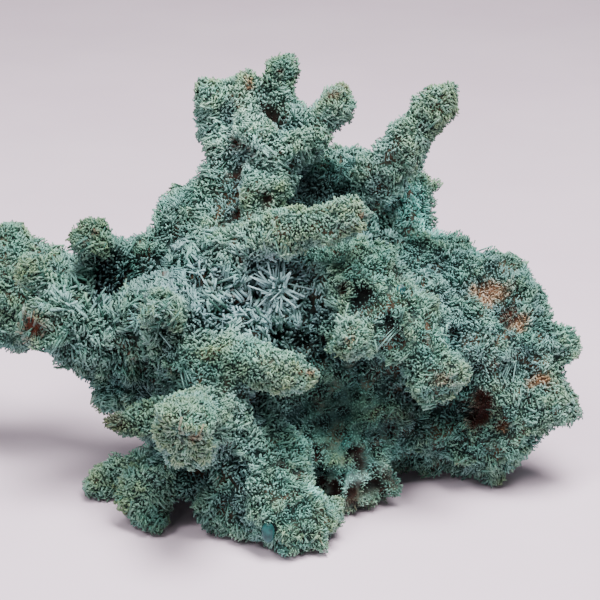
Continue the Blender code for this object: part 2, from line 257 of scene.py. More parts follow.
# furrows pressed into the skin, and how deep; a ridge is raised where the depth is below nought
PRESSES: tuple[Stretch, ...] = stretches(
    # furrows and ridges of the crown and the long finger
    (-7, 11.2, 66, -6.5, 8, 61.5, 2.2, 1.3),
    (-6.4, 6.3, 59.6, -3.4, 3.6, 57.8, 2, 1.4),
    (-6, 5, 55.5, -6.4, 1.1, 48.3, 2.2, 1.7),
    (2.7, 7.9, 64.1, 4.6, 6.2, 63.2, 2.8, 2.4),
    (0, 11.5, 66.6, -0.4, 6, 64, 2, 1.3),
    (7, 8, 51.5, 13.5, 9, 50.5, 4, 1.5),
    (0.1, -1.9, 51.9, -2, -1.5, 51, 1.4, 0.9),
    (-1.5, 2.5, 61, 2, 1.5, 56, 1.6, -0.7),
    (-9, 13, 66, -3, 12, 67.5, 3.2, -1.3),
    (24, 8.5, 59, 31, 9.5, 66, 6, -1),
    (17, 7.5, 52.5, 22, 8, 57, 5, -1.3),
    (29, 14, 48, 28.5, 13.5, 43.5, 3.2, 1.6),
    # openings in the moss right of the middle
    (16.1, -11.5, 39.8, 15.3, -12.2, 38.2, 1.6, 1.4),
    (12.2, -11.9, 39.6, 12, -11.9, 39, 1.5, 1.3),
    (20.2, -13.5, 34.5, 21.3, -14.2, 33, 1.7, 1.5),
    (22, -5, 41.5, 24, -7, 40, 2.2, 0.9),
    (31.5, -9, 34, 31, -11, 30, 2.2, 1.4),
    # furrows of the right lobe
    (29, 6, 39.5, 33, 0, 35, 2.6, 1.2),
    (38, 1.5, 35, 42, -1.5, 30, 2.2, 1),
    (36, -5, 22, 45, -5, 18, 2.2, 1.1),
    (47, -1, 28, 46, -4, 22, 2, 1),
    (36, -3, 30, 39, -5, 25, 2.2, -0.9),
    # the small finger and the front foot
    (-26, -18.5, 19, -26.5, -19, 18.5, 2.4, -1.2),
    (0, -22.5, 17.5, 4.5, -28.5, 11.5, 2.4, -0.8),
    (9.5, -24, 11, 11, -22.5, 7, 2.6, 1.6),
    (-4.5, -25, 12, -7, -26, 5, 2.6, 1.2),
    # the slanting end of the stub
    (-17.5, -36.5, 30, -17, -33, 29.5, 3.4, -1.6),
    (-18.5, -37, 25, -14.5, -38, 20.5, 5, 3.6),
    (-18.4, -37.5, 28.6, -18.2, -33, 29.8, 3.4, -3.6),
    (-12, -38.5, 23.5, -8.5, -38, 22, 2.4, 1),
    # the crown's corner and the lump behind the long finger
    (-10, 14, 66.5, -9.6, 12.5, 65, 3, -1.4),
    (30.5, 19, 47, 31, 17, 44, 4, 1.6),
    (23, 9.5, 52, 25, 17, 49, 4.5, -1.8),
    # the stub again, then the tips of the left limb
    (-20, -36, 31, -19, -32, 31, 5.2, -4),
    (-17, -37, 22, -13, -36, 19, 5, 2.8),
    (-4.5, -33, 22, -6, -30, 20, 4, 1.4),
    (-39, -8, 33.5, -38.5, -8.5, 31.5, 4.2, -1.8),
    (-29.8, 2.8, 41.8, -26.6, 3.2, 40.6, 3.6, -2.2),
    (-39.5, -0.5, 39.5, -40.2, -0.5, 40, 3.2, -2.4),
    # under the right lobe, and the pocket on the left
    (25, -4.5, 2, 32, -5.5, 1, 5.5, 4.2),
    (-30.5, -0.5, 37.2, -26, 2, 35.8, 2.6, 0.8),
    # lumps and hollows of the underside
    (10.6, -12.9, 6.5, 14.5, -13.4, 3, 4.2, -2.2),
    (12.5, -13.8, 12, 13.5, -14, 8, 2.4, -0.9),
    (17.5, -12.5, 11.5, 18, -12.5, 6.5, 2, -0.8),
    (8, -13.5, 17, 16, -12, 15.5, 2.6, 1.3),
    (20, -11, 14, 24, -8, 10, 2.4, 1),
)


@dataclass(frozen=True)
class Spot:
    """A small place of its own on the skin, in millimetres."""

    centre: Point
    radius: float
    depth: float = 0.0
    rust: float = 0.0
    # gloom is painted shade that darkens holes, pits and nooks
    gloom: float = 0.0
    bare: float = 0.0
    tint: float = 0.0
    # pale lightens the colour, partly the mineral's own paleness and partly painted light
    pale: float = 0.0


MARK_FIELDS = ("rust", "gloom", "depth", "bare", "tint", "pale")

# a point, a radius, and the spot's depth, rust, gloom and bareness; the gloom is painted shade
STAINS_AND_PAINTED_SHADE: tuple[tuple[float, ...], ...] = (
    # rust, and light stains
    (38, 1.6, 34.1, 1.8, 0, 0.8),
    (39.5, 2.7, 34.8, 1.8, 0, 0.75),
    (35.6, 1.4, 35.2, 1.2, 0, 0.7),
    (43.3, -1, 30, 1.5, 0, 0.85),
    (41.5, -0.3, 31.8, 1.3, 0.3, 0.7, 0.25, 0.2),
    (47.1, -3.3, 20.8, 1.1, 0, 0.85),
    (45.1, -4.6, 20.4, 0.9, 0, 0.7),
    (34.3, -1.6, 30, 0.8, 0.3, 0.8, 0.3, 0.5),
    (29.2, -16.1, 25.6, 1.6, 0, 0.45),
    (13.9, -17.1, 35.3, 1, 0.3, 0.8, 0.2, 0.4),
    (14.2, -18.4, 33.4, 0.7, 0.2, 0.7, 0.1, 0.3),
    (16.1, -12.6, 52.4, 0.8, 0.2, 0.8, 0.2, 0.3),
    (7.8, -22.7, 29.5, 0.8, 0.1, 0.7, 0.1, 0.3),
    (-3.5, -20, 33.2, 0.6, 0.2, 0.7, 0.3, 0.3),
    (11.5, 8.1, 67.2, 0.9, 0, 0.6, 0.2, 0.2),
    (13.1, 10.2, 67.8, 0.7, 0, 0.6, 0.3, 0.3),
    (2.6, 12.8, 69.6, 0.7, 0.2, 0.7, 0.35, 0.3),
    (-2.3, 10.7, 67.4, 0.7, 0, 0.8, 0.1, 0.4),
    (-16.5, -18.5, 38.4, 0.8, 0.3, 0.8, 0.35, 0.4),
    (-29.5, 1.8, 43.5, 0.7, 0.3, 0.8, 0.4, 0.4),
    (-28.2, 1.5, 45, 0.5, 0.2, 0.8, 0.3, 0.3),
    (-32, -6.6, 35.4, 0.7, 0.2, 0.8, 0.3, 0.5),
    (-16.9, -3.8, 40.6, 0.8, 0.3, 0.8, 0.35, 0.5),
    (-9, -2.4, 45.9, 0.6, 0.2, 0.8, 0.25, 0.4),
    (-10.5, -21, 25.5, 1.4, 0, 0.35, 0.1),
    (-16.5, -35, 28, 1.4, 0, 0.4),
    (-9.5, -37.6, 23.5, 1.5, 0, 0.45),
    (-13.5, -25.5, 4, 0.8, 0.1, 0.6, 0.2, 0.3),
    (-18, -37, 28.5, 2, 0, 0.55),
    (-14, -38.5, 26, 1.5, 0, 0.5),
    (-24.6, -17.9, 19.3, 1.6, 0.1, 0.5, 0.3, 0.2),
    (-27, 2.2, 37, 2.2, 0.5, 0, 0.3, 0.55),
    (39.8, -7.5, 12.9, 0.8, 0, 0.8),
    (23.4, -5.5, 41, 1.7, 0.3, 0.35, 0.4, 0.2),
    (27.2, -14.2, 31.6, 0.7, 0.4, 0.7, 0.3, 0.5),
    # brown and red nooks and pits, darkened with painted shade
    (-38.8, -8.8, 32.2, 2.7, 0.7, 1, 0.35, 1),
    (-37, -9.4, 31.8, 1.6, 0.4, 1, 0.35, 1),
    (-6.2, 5.8, 59, 1.2, 0.8, 0.8, 0.45, 0.9),
    (-3.7, 3.6, 58.2, 1.1, 0.7, 0.8, 0.5, 0.9),
    (-5.7, 4.6, 54.4, 1.1, 0.9, 0.7, 0.5, 0.9),
    (-5.6, 1.2, 49, 1, 0.9, 0.8, 0.5, 0.9),
    (0.1, -1.9, 51.9, 1, 0.9, 0.6, 0.65, 0.9),
    (1.5, 8.5, 64.3, 1.8, 1.4, 0.5, 0.7, 1),
    (4.8, 6.2, 63.2, 0.9, 0.9, 0.6, 0.6, 0.8),
    (-39.8, -7.4, 32.6, 2.3, 0.4, 1, 0.3, 1),
    (-8, -8.6, 39.5, 1, 1.3, 0.7, 0.7, 1),
    (-3.9, -9.3, 37.3, 1, 1.2, 0.9, 0.5, 1),
    (-14.2, -14.8, 25.6, 1, 1.2, 0.8, 0.6, 0.95),
    (-21.8, -10.3, 26.3, 0.8, 0.8, 0.7, 0.6, 0.9),
    (35.6, -6.6, 14.4, 2.4, 1.3, 1, 0.75, 0.9),
    (36.2, -6.7, 17, 2.2, 1.3, 1, 0.75, 0.9),
    (12.4, -12.1, 39.6, 1.2, 1.1, 0.6, 0.65, 0.9),
    (11.4, -13.2, 5.2, 1.5, 1.6, 0.9, 0.78, 1),
    (11.9, -13.2, 3.8, 1.3, 1.6, 0.9, 0.78, 1),
    (15, -13.2, 4.6, 1.5, 1.7, 0.9, 0.78, 1),
    (15.1, -13, 3.2, 1.3, 1.6, 0.9, 0.78, 1),
    (16.4, -12.5, 9.1, 1.4, 1.8, 0.7, 0.88, 1),
    (18.2, -13.3, 5, 1.6, 1.8, 0.5, 0.9, 1),
    (21.3, -10.9, 6.2, 1.2, 1.3, 0.9, 0.7, 1),
    (20.1, -11.8, 0.8, 1.8, 1, 0.6, 0.85, 1),
    (16.6, -13.4, 0.6, 1.3, 0.8, 0.5, 0.9, 0.9),
    # holes painted dark as shade
    (-1.3, -9.2, 37.3, 0.9, 1.3, 0.2, 0.9, 1),
    (3.4, -10.6, 31.2, 1.3, 1.3, 0, 0.6, 0.7),
    (6, -10.7, 31.2, 1.8, 1.5, 0, 0.65, 0.75),
    (9, -11.2, 30.6, 1, 1.3, 0, 0.9, 0.9),
    (5.9, -8.5, 36.3, 0.8, 1.2, 0.2, 0.85, 0.8),
    (-30.2, -0.4, 37.2, 2.4, 0.6, 0, 0.3, 0.6),
    (-25.7, 2, 35.4, 1.6, 0.5, 0, 0.3, 0.6),
    (16.1, -12, 39.1, 1.2, 1.2, 0.2, 0.8, 1),
    (15.2, -12.2, 38, 0.9, 1.2, 0.1, 0.9, 0.9),
    (20.3, -13.6, 34.3, 0.8, 1.1, 0.1, 0.8, 0.9),
    (21.2, -14.2, 32.8, 0.8, 0.9, 0.4, 0.7, 0.8),
    (15, -12.2, 11, 1.5, 1.8, 0.3, 0.85, 1),
    (5.9, -25.2, 13.5, 1.2, 1.2, 0.3, 0.9, 0.95),
    (3.2, -24.7, 15, 1.1, 1, 0.3, 0.9, 0.9),
)

# a point, a radius, and the spot's turquoise tint and paleness; paleness is partly painted light
PATCHES: tuple[tuple[float, ...], ...] = (
    (38, 1.6, 34.1, 1.8, 0, 0.6),
    (39.5, 2.7, 34.8, 1.8, 0, 0.6),
    (43.3, -1, 30, 1.5, 0, 0.5),
    (25.5, 14.8, 46.5, 3.8, 1, 0.9),
    (28.2, 13.6, 43.9, 3, 1, 0.9),
    (22.5, 10.5, 48, 3, 0.8, 0.6),
    (9, -25.6, 11, 2, 1, 0.5),
    (2.7, -8.6, 39, 4, 0, 0.7),
    (-3, -9.5, 37, 4, 0, 0.35),
    (-4, 6, 60, 6, 0, 0.8),
    (11.5, -22.5, 6, 1.8, 0.7, 0),
    (13.5, -14, 6.5, 2.6, 0.7, 0),
    (17, -13.3, 7.5, 2.4, 0.6, 0),
    (14.5, -12.8, 13, 2, 0.5, 0),
    (22.5, -7.5, 8.5, 2.6, 0.5, 0),
    (30, -11.5, 31.5, 1.4, 0.7, 0),
    (13.2, -13.9, 6.4, 1.6, 0, 1),
    (13.3, -13.4, 3.6, 1.6, 0, 1),
    (13.4, -13, 1.3, 2, 0, 1),
    (16.9, -13.6, 6.8, 1.6, 0, 0.9),
    (16.8, -13.9, 3, 1.5, 0, 1),
    (20.4, -11.2, 7.6, 1.6, 0, 0.8),
)
SPOTS = tuple(Spot(row[:3], *row[3:]) for row in STAINS_AND_PAINTED_SHADE) + tuple(
    Spot(row[:3], row[3], tint=row[4], pale=row[5]) for row in PATCHES
)


@dataclass(frozen=True)
class Star:
    """A round spray of rods that start from one point, in millimetres."""

    centre: Point
    reach: float
    rods: int
    width: float = 0.46


STARS: tuple[Star, ...] = (
    Star((2.7, -8.6, 39.0), 5.4, 64, 0.42),
    Star((-1.6, -10.2, 34.6), 2.7, 20),
    Star((-11.6, -6.6, 40.9), 2.6, 16),
    Star((-31.6, -6.3, 35.6), 4.2, 30, 0.5),
    Star((-21.1, -9.6, 34.2), 3.0, 24, 0.36),
    Star((-16.4, -18.2, 38.0), 2.3, 24, 0.32),
    Star((29.6, -12.4, 32.6), 2.4, 20, 0.32),
    Star((13.9, -16.8, 35.4), 2.8, 30, 0.34),
    Star((-13.0, -14.6, 27.6), 2.2, 16, 0.36),
)


@dataclass(frozen=True)
class Sheaf:
    """A few rods side by side that lie on the skin, in millimetres."""

    start: Point
    end: Point
    rods: int
    width: float
    splay: float = 0.12


# two points, then the rods' number, width and splay
SHEAVES: tuple[Sheaf, ...] = tuple(
    Sheaf(row[:3], row[3:6], *row[6:])
    for row in (
        (-13.6, 2, 45.6, -9.2, -5.6, 44.4, 5, 0.62),
        (-14.4, -1, 44.2, -11.2, -6, 42.4, 4, 0.5),
        (-12, 0.5, 46, -8.6, -3.6, 45.2, 3, 0.55),
        (-6, -6.5, 43.6, -6.8, -8.8, 40.4, 4, 0.48),
        (-2.4, -8.6, 42, -4.2, -9.6, 39.4, 3, 0.5, 0.2),
        (-4.8, -9, 38.6, -2.2, -10.6, 36.7, 3, 0.6),
        (-10.6, -8.2, 38.4, -7, -10.4, 36.2, 4, 0.48, 0.2),
        (-8.6, -9.6, 41.6, -8.2, -10, 38.4, 2, 0.5),
        (-12.6, -8.4, 37.4, -10, -10.2, 34.6, 4, 0.46, 0.25),
        (1, -10.4, 35.6, -0.4, -12.6, 32.9, 5, 0.44, 0.2),
        (5.4, -9.6, 36.2, 5, -11.8, 33.2, 5, 0.42, 0.25),
        (-0.3, 1.9, 59.6, 1.4, 1, 57.2, 3, 0.42, 0.25),
        (-2.4, 1.8, 59.5, -0.9, 1, 57.6, 2, 0.38, 0.25),
        (-6.6, 2.3, 51.2, -4.8, 2.4, 53, 2, 0.42, 0.2),
        (-28.4, 2.2, 44.2, -27.8, 0.6, 40.6, 5, 0.36, 0.3),
        (-30.2, 1.6, 43.2, -31.2, -0.2, 40.2, 4, 0.36, 0.3),
        (-26.6, 2.4, 43.8, -25.2, 1.2, 40.2, 5, 0.38, 0.3),
        (-29.4, 1.8, 43, -29.4, 0.2, 39.2, 5, 0.38, 0.3),
        (-13.8, -15.2, 27.6, -12.4, -17.6, 24.4, 5, 0.42, 0.22),
        (-18, -11, 33, -16.2, -13.6, 30.2, 4, 0.42, 0.25),
        (42.4, -4.8, 23.8, 41.2, -7.4, 20.6, 4, 0.38, 0.25),
        (36.5, -4.2, 28, 35.2, -6.2, 25, 4, 0.36, 0.25),
        (-19.6, -20.6, 7.6, -17, -23.2, 5, 6, 0.4, 0.3),
        (21.4, -13.6, 32.6, 19.6, -15.2, 30, 4, 0.34, 0.3),
        (10.4, -13.4, 36.4, 7.4, -13.2, 37.4, 4, 0.38, 0.25),
    )
)
BEAD_CENTRE: Point = (0.8, -30.6, 5.0)
BEAD_RADII: Point = (1.05, 0.8, 1.8)


def fade(distance: Array, reach: float) -> Array:
    """A smooth fall from 1 at no distance to 0 at the reach."""
    share = np.clip(1.0 - distance / reach, 0.0, 1.0)
    return share * share * (3.0 - 2.0 * share)


class Pattern(Enum):
    """The noise patterns over the specimen, by how far each is moved."""

    CRUST_LUMPS = 3.0
    CRUST_TONE = 5.0
    CRUST_GRAINS = 9.0
    RAGGED_EDGES = 21.0
    FINE_EDGES = 31.0
    BROAD_LUMPS = 50.0
    SMALL_LUMPS = 60.0
    BROWN_STAINS = 70.0


def wander(points: Array, scale: float, pattern: Pattern) -> Array:
    """Smooth noise at points, between about -1 and 1.

    Args:
        points: Points in millimetres, one a row.
        scale: Size of the noise's lumps in millimetres.
        pattern: Which pattern it is.

    Returns:
        One value for each point.
    """
    shift = Vector((pattern.value, 1.7 * pattern.value, -pattern.value))
    return np.array([noise.noise(Vector(p) / scale + shift) for p in points.tolist()])


@dataclass
class GrowthMap:
    """Says where each growth stands and how it is weathered, and paints shade and light on it."""

    regions: Sequence[tuple[Growth, tuple[Stretch, ...]]] = REGIONS
    presses: Sequence[Stretch] = PRESSES
    spots: Sequence[Spot] = SPOTS
    shades: Sequence[Stretch] = PAINTED_SHADES
    region_narrowing: float = 0.75
    lumps: tuple[float, float] = (1.5, 1.0)
    lump_sizes: tuple[float, float] = (5.0, 2.6)
    lump_sink: float = 0.15
    lump_range: tuple[float, float] = (-1.3, 0.9)
    ragged: tuple[float, float] = (0.6, 0.5)
    ragged_sizes: tuple[float, float] = (1.7, 0.9)
    spot_reach: float = 1.6
    spot_fill: float = 1.5
    # olive and slate follow ridges and hollows; hollow_shade is painted shade in hollows
    hollow_olive: float = 0.8
    ridge_olive: float = 0.35
    hollow_slate: float = 0.35
    ridge_slate: float = 0.15
    hollow_shade: float = 0.5
    # pale spots are lightened: partly real paleness, partly painted light, most on tinted spots
    pale_lift: float = 0.45
    tint_lift: float = 1.1

    def coats(self, points: Array) -> Fields:
        """The blended coat at each point.

        Args:
            points: Points in millimetres, one a row.

        Returns:
            For each field of a coat, one value for each point.
        """
        parts = [(kind, part) for kind, group in self.regions for part in group]
        weights = [np.full(len(points), BACKGROUND_WEIGHT)]
        weights += [part.amount * part.near(points, self.region_narrowing) for _, part in parts]
        kinds = [Growth.BUSHY] + [kind for kind, _ in parts]
        table = np.array([[getattr(COATS[kind], name) for name in COAT_FIELDS] for kind in kinds])
        shares = np.stack(weights) / np.sum(weights, axis=0)
        return dict(zip(COAT_FIELDS, table.T @ shares))

    def relief(self, points: Array, height: Array) -> Array:
        """How far the skin rises above its solid.

        Args:
            points: Points in millimetres, one a row.
            height: The height of the lumps at each.

        Returns:
            A rise in millimetres for each point.
        """
        broad, small = (
            share * wander(points, size, pattern)
            for share, size, pattern in zip(
                self.lumps, self.lump_sizes, (Pattern.BROAD_LUMPS, Pattern.SMALL_LUMPS)
            )
        )
        rise = height * np.clip(broad + small - self.lump_sink, *self.lump_range)
        for part in self.presses:
            rise = rise - part.amount * part.near(points)
        return rise

    def marks(self, points: Array) -> Fields:
        """Rust, gloom (painted shade in holes), depth, bareness, tint, paleness and painted shade.

        Args:
            points: Points in millimetres, one a row.

        Returns:
            For each of them, one value for each point.
        """
        made = {name: np.zeros(len(points)) for name in MARK_FIELDS + ("shade",)}
        # painted shade from the sheltered stretches
        for part in self.shades:
            made["shade"] = 1.0 - (1.0 - made["shade"]) * (1.0 - part.amount * part.near(points))
        ragged = np.ones(len(points))
        edges = (Pattern.RAGGED_EDGES, Pattern.FINE_EDGES)
        for share, size, pattern in zip(self.ragged, self.ragged_sizes, edges):
            ragged = ragged + share * wander(points, size, pattern)
        for spot in self.spots:
            distance = np.linalg.norm(points - np.array(spot.centre), axis=1) * ragged
            near = fade(distance, spot.radius * self.spot_reach) * self.spot_fill
            near = np.clip(near, 0.0, 1.0)
            for name in MARK_FIELDS:
                made[name] = np.maximum(made[name], getattr(spot, name) * near)
        return made

    def weather(self, fields: Fields) -> None:
        """Turns ridges olive and hollows bluish, paints shade in hollows and lightens pale spots.

        Args:
            fields: The skin's values, with how sunk each point is, from -1 on a ridge to 1.
        """
        sunk, proud = np.clip(fields["hollow"], 0.0, 1.0), np.clip(-fields["hollow"], 0.0, 1.0)
        olive = fields["olive"] * (1.0 - self.hollow_olive * sunk) + self.ridge_olive * proud
        slate = fields["slate"] + self.hollow_slate * sunk - self.ridge_slate * proud
        plain = 1.0 - fields["tint"]
        fields["olive"] = np.clip(olive, 0.0, 1.0) * plain
        fields["slate"] = np.clip(slate, 0.0, 1.0) * plain
        fields["teal"] = 1.0 - (1.0 - fields["teal"]) * plain
        dim = plain * (1.0 - fields["pale"])
        # painted light: pale spots lift the colour, partly real paleness and partly painted light
        lift = fields["pale"] * (1.0 - fields["bare"])
        lift = lift * (self.pale_lift + self.tint_lift * fields["tint"])
        # painted shade from the sheltered stretches and in the hollows; the lift brings it below
        # nought
        sheltered = (1.0 - fields["shade"] * dim) * (1.0 - self.hollow_shade * sunk * dim)
        fields["shade"] = 1.0 - sheltered - lift


# --- meshes


def add_object(name: str, data: bpy.types.ID) -> Object:
    """Adds an object to the scene.

    Args:
        name: The object's name.
        data: Its mesh, light or camera.

    Returns:
        The object.
    """
    item = bpy.data.objects.new(name, data)
    bpy.context.scene.collection.objects.link(item)
    return item


def new_object(name: str, bm: bmesh.types.BMesh) -> Object:
    """Makes an object from a bmesh and frees the bmesh.

    Args:
        name: The piece's name.
        bm: The shape, in metres.

    Returns:
        The new object, linked to the scene.
    """
    mesh = bpy.data.meshes.new(name)
    bm.to_mesh(mesh)
    bm.free()
    return add_object(name, mesh)


def triangle_count(mesh: Mesh) -> int:
    """The number of triangles that a mesh has."""
    return sum(len(polygon.vertices) - 2 for polygon in mesh.polygons)


def unit(vectors: Array) -> Array:
    """Each row at length 1."""
    return vectors / np.maximum(np.linalg.norm(vectors, axis=1, keepdims=True), 1e-9)


@dataclass
class Sample:
    """Random places on the skin, each within one triangle of its net."""

    corners: Array
    share: Array

    def take(self, index: Array) -> "Sample":
        """Only some of the places."""
        return Sample(self.corners[index], self.share[index])


@dataclass
class Skin:
    """The common skin of all the solids, as one fine even net with its lumps and furrows."""

    growth: GrowthMap
    net: float = 0.7
    overlap: float = 0.25
    normal_rounds: int = 6
    broad_rounds: int = 30
    hollow_rounds: int = 70
    hollow_depth: float = 1.6
    own_share: float = 0.4
    mesh: Mesh = field(init=False)
    quads: Array = field(init=False)
    edges: Array = field(init=False)
    fields: Fields = field(init=False)

    def __post_init__(self) -> None:
        """Builds the net at once."""
        merged = self._merged_solids()
        modifier = merged.modifiers.new("net", "REMESH")
        modifier.mode = "VOXEL"
        modifier.voxel_size = self.net * MM
        bpy.context.view_layer.update()
        mesh = bpy.data.meshes.new_from_object(
            merged.evaluated_get(bpy.context.evaluated_depsgraph_get())
        )
        bpy.data.objects.remove(merged)
        self._keep_shell(mesh)
        self._read(mesh)

    def _merged_solids(self) -> Object:
        """Joins a slightly swollen copy of every solid.

        Returns:
            One object that holds them all.
        """
        together = bmesh.new()
        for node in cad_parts.values():
            bm = bmesh.new()
            bm.from_mesh(node.data)
            bmesh.ops.remove_doubles(bm, verts=bm.verts, dist=1e-6)
            bm.normal_update()
            for vertex in bm.verts:
                vertex.co += vertex.normal * self.overlap * MM
            copy = bpy.data.meshes.new("copy")
            bm.to_mesh(copy)
            bm.free()
            together.from_mesh(copy)
            bpy.data.meshes.remove(copy)
        return new_object("merged_solids", together)

    def _keep_shell(self, mesh: Mesh) -> None:
        """Leaves only the outer shell of the net, smoothed once.

        Args:
            mesh: The remeshed solids.
        """
        bm = bmesh.new()
        bm.from_mesh(mesh)
        bm.verts.ensure_lookup_table()
        label = [-1] * len(bm.verts)
        sizes: list[int] = []
        for vertex in bm.verts:
            if label[vertex.index] >= 0:
                continue
            label[vertex.index] = len(sizes)
            stack, count = [vertex], 0
            while stack:
                here = stack.pop()
                count += 1
                for edge in here.link_edges:
                    other = edge.other_vert(here)
                    if label[other.index] < 0:
                        label[other.index] = len(sizes)
                        stack.append(other)
            sizes.append(count)
        largest = sizes.index(max(sizes))
        inner = [v for v in bm.verts if label[v.index] != largest]
        bmesh.ops.delete(bm, geom=inner, context="VERTS")
        bmesh.ops.smooth_vert(
            bm, verts=bm.verts, factor=0.5, use_axis_x=True, use_axis_y=True, use_axis_z=True
        )
        bm.to_mesh(mesh)
        bm.free()

    def _array(self, items: object, name: str, width: int) -> Array:
        """One property of many mesh items as rows.

        Args:
            items: The mesh's vertices, edges or polygons.
            name: The property's name.
            width: How many numbers each item has.

        Returns:
            One row for each item.
        """
        kind = np.int64 if name == "vertices" else float
        flat = np.empty(len(items) * width, dtype=kind)
        items.foreach_get(name, flat)
        return flat.reshape(-1, width)

    def _read(self, mesh: Mesh) -> None:
        """Keeps the net as arrays, with the growth's values at every point.

        Args:
            mesh: The net's outer shell.
        """
        self.mesh = mesh
        points = self._array(mesh.vertices, "co", 3) / MM
        self.quads = self._array(mesh.polygons, "vertices", 4)
        self.edges = self._array(mesh.edges, "vertices", 2)
        normals = self._array(mesh.vertices, "normal", 3)
        broad = unit(self.spread(normals, self.broad_rounds))
        points = points - unit(self.spread(normals, self.normal_rounds)) * self.overlap
        fields = {**self.growth.coats(points), **self.growth.marks(points)}
        points = points + broad * self.growth.relief(points, fields["relief"])[:, None]
        points[:, 2] = np.maximum(points[:, 2], 0.0)
        mesh.vertices.foreach_set("co", (points * MM).ravel())
        mesh.update()
        normals = unit(self.spread(self._array(mesh.vertices, "normal", 3), self.normal_rounds))
        around = self.spread(points, self.hollow_rounds)
        sunk = ((around - points) * normals).sum(axis=1)
        hollow = np.clip(self.spread(sunk[:, None], 4)[:, 0] / self.hollow_depth, -1.0, 1.0)
        fields.update(points=points, normals=normals, broad=broad, hollow=hollow)
        self.growth.weather(fields)
        self.fields = fields

    def spread(self, values: Array, rounds: int) -> Array:
        """Smooths values over the net.

        Args:
            values: One row for each point of the net.
            rounds: How many times each value is averaged with its neighbours'.

        Returns:
            The smoothed values.
        """
        a, b = self.edges[:, 0], self.edges[:, 1]
        degree = np.bincount(self.edges.ravel(), minlength=len(values)).astype(float)
        out = values.astype(float)
        for _ in range(rounds):
            total = np.zeros_like(out)
            for axis in range(out.shape[1]):
                for here, other in ((a, b), (b, a)):
                    total[:, axis] += np.bincount(here, out[other, axis], len(out))
            out = self.own_share * out + (1.0 - self.own_share) * total / degree[:, None]
        return out

    def scatter(self, count: int, rng: np.random.Generator) -> Sample:
        """Random places on the skin, even by area.

        Args:
            count: How many places.
            rng: The source of chance.

        Returns:
            The places.
        """
        tri = np.concatenate([self.quads[:, [0, 1, 2]], self.quads[:, [0, 2, 3]]])
        p = self.fields["points"][tri]
        area = np.linalg.norm(np.cross(p[:, 1] - p[:, 0], p[:, 2] - p[:, 0]), axis=1) / 2
        pick = tri[rng.choice(len(tri), count, p=area / area.sum())]
        u, v = rng.random(count), rng.random(count)
        flip = u + v > 1
        u[flip], v[flip] = 1 - u[flip], 1 - v[flip]
        return Sample(pick, np.stack([1 - u - v, u, v], axis=1))

    def read(self, name: str, sample: Sample) -> Array:
        """One of the skin's values at some places.

        Args:
            name: The value's name.
            sample: The places.

        Returns:
            A number or a row for each place.
        """
        values = self.fields[name][sample.corners]
        share = sample.share if values.ndim == 2 else sample.share[:, :, None]
        return (values * share).sum(axis=1)


def thin_out(points: Array, spacing: Array) -> Array:
    """Keeps places that stand at least their spacing apart.

    Args:
        points: Places in millimetres, in random order.
        spacing: Each place's own distance to the next.

    Returns:
        The indices of the places kept.
    """
    cell = float(spacing.max())
    grid: dict[tuple[int, int, int], list[Point]] = {}
    keys = np.floor(points / cell).astype(int).tolist()
    kept: list[int] = []
    around = [(i, j, k) for i in (-1, 0, 1) for j in (-1, 0, 1) for k in (-1, 0, 1)]
    rows = zip(points.tolist(), keys, (spacing * spacing).tolist())
    for index, ((x, y, z), (a, b, c), gap) in enumerate(rows):
        cells = (grid.get((a + i, b + j, c + k), ()) for i, j, k in around)
        others = (other for cell_places in cells for other in cell_places)
        if all((px - x) ** 2 + (py - y) ** 2 + (pz - z) ** 2 >= gap for px, py, pz in others):
            kept.append(index)
            grid.setdefault((a, b, c), []).append((x, y, z))
    return np.array(kept)


# --- finishes


def linear(red: int, green: int, blue: int) -> tuple[float, float, float, float]:
    """A screen colour as linear light.

    Args:
        red: The red channel, 0 to 255.
        green: The green channel.
        blue: The blue channel.

    Returns:
        The colour with its alpha.
    """

    def one(value: int) -> float:
        """One channel as linear light."""
        share = value / 255.0
        return share / 12.92 if share <= 0.04045 else ((share + 0.055) / 1.055) ** 2.4

    return (one(red), one(green), one(blue), 1.0)


MINERAL_COLOURS = ("sage", "olive", "slate", "teal", "root", "rust", "deep", "gloom")


@dataclass(frozen=True)
class MineralFinish:
    """The colours of the green mineral, from roots painted dark as shade to its pale tips."""

    sage: Colour = (128, 172, 158)
    olive: Colour = (136, 162, 126)
    slate: Colour = (146, 178, 183)
    teal: Colour = (92, 170, 160)
    root: Colour = (84, 126, 114)
    rust: Colour = (172, 124, 86)
    deep: Colour = (98, 46, 30)
    # gloom: the near-black of the painted shade in holes, pits and pores
    gloom: Colour = (16, 22, 22)
    roughness: float = 0.72
    bump: float = 0.25
    grain: float = 2600.0
    specular: float = 0.35


@dataclass(frozen=True)
class CrustFinish(MineralFinish):
    """The crust between the needles: browner, lumpy, and painted darker as shade."""

    sage: Colour = (102, 146, 133)
    olive: Colour = (104, 126, 102)
    slate: Colour = (82, 112, 116)
    teal: Colour = (84, 132, 124)
    root: Colour = (24, 40, 38)
    rust: Colour = (128, 92, 66)
    roughness: float = 0.85
    bump: float = 0.6
    grain: float = 1500.0
    specular: float = 0.2


@dataclass(frozen=True)
class CloudyFinish:
    """Two colours in soft clouds; the values are those of the smooth blue-green beads."""

    light: Colour = (36, 86, 84)
    dark: Colour = (20, 58, 58)
    clouds: float = 900.0
    detail: float = 3.0
    edges: tuple[float, float] = (0.35, 0.65)
    roughness: float = 0.28
    rougher: float = 0.15
    specular: float = 0.25


@dataclass(frozen=True)
class FloorFinish(CloudyFinish):
    """The pale, faintly rosy floor, evenly dull."""

    light: Colour = (224, 204, 218)
    dark: Colour = (218, 197, 212)
    clouds: float = 14.0
    detail: float = 4.0
    edges: tuple[float, float] = (0.3, 0.7)
    roughness: float = 0.6
    rougher: float = 0.0
    specular: float = 0.2


NOISE_ROUGHNESS = 0.6
SMEARS = 2500.0
BUMP_HEIGHT = 0.00015


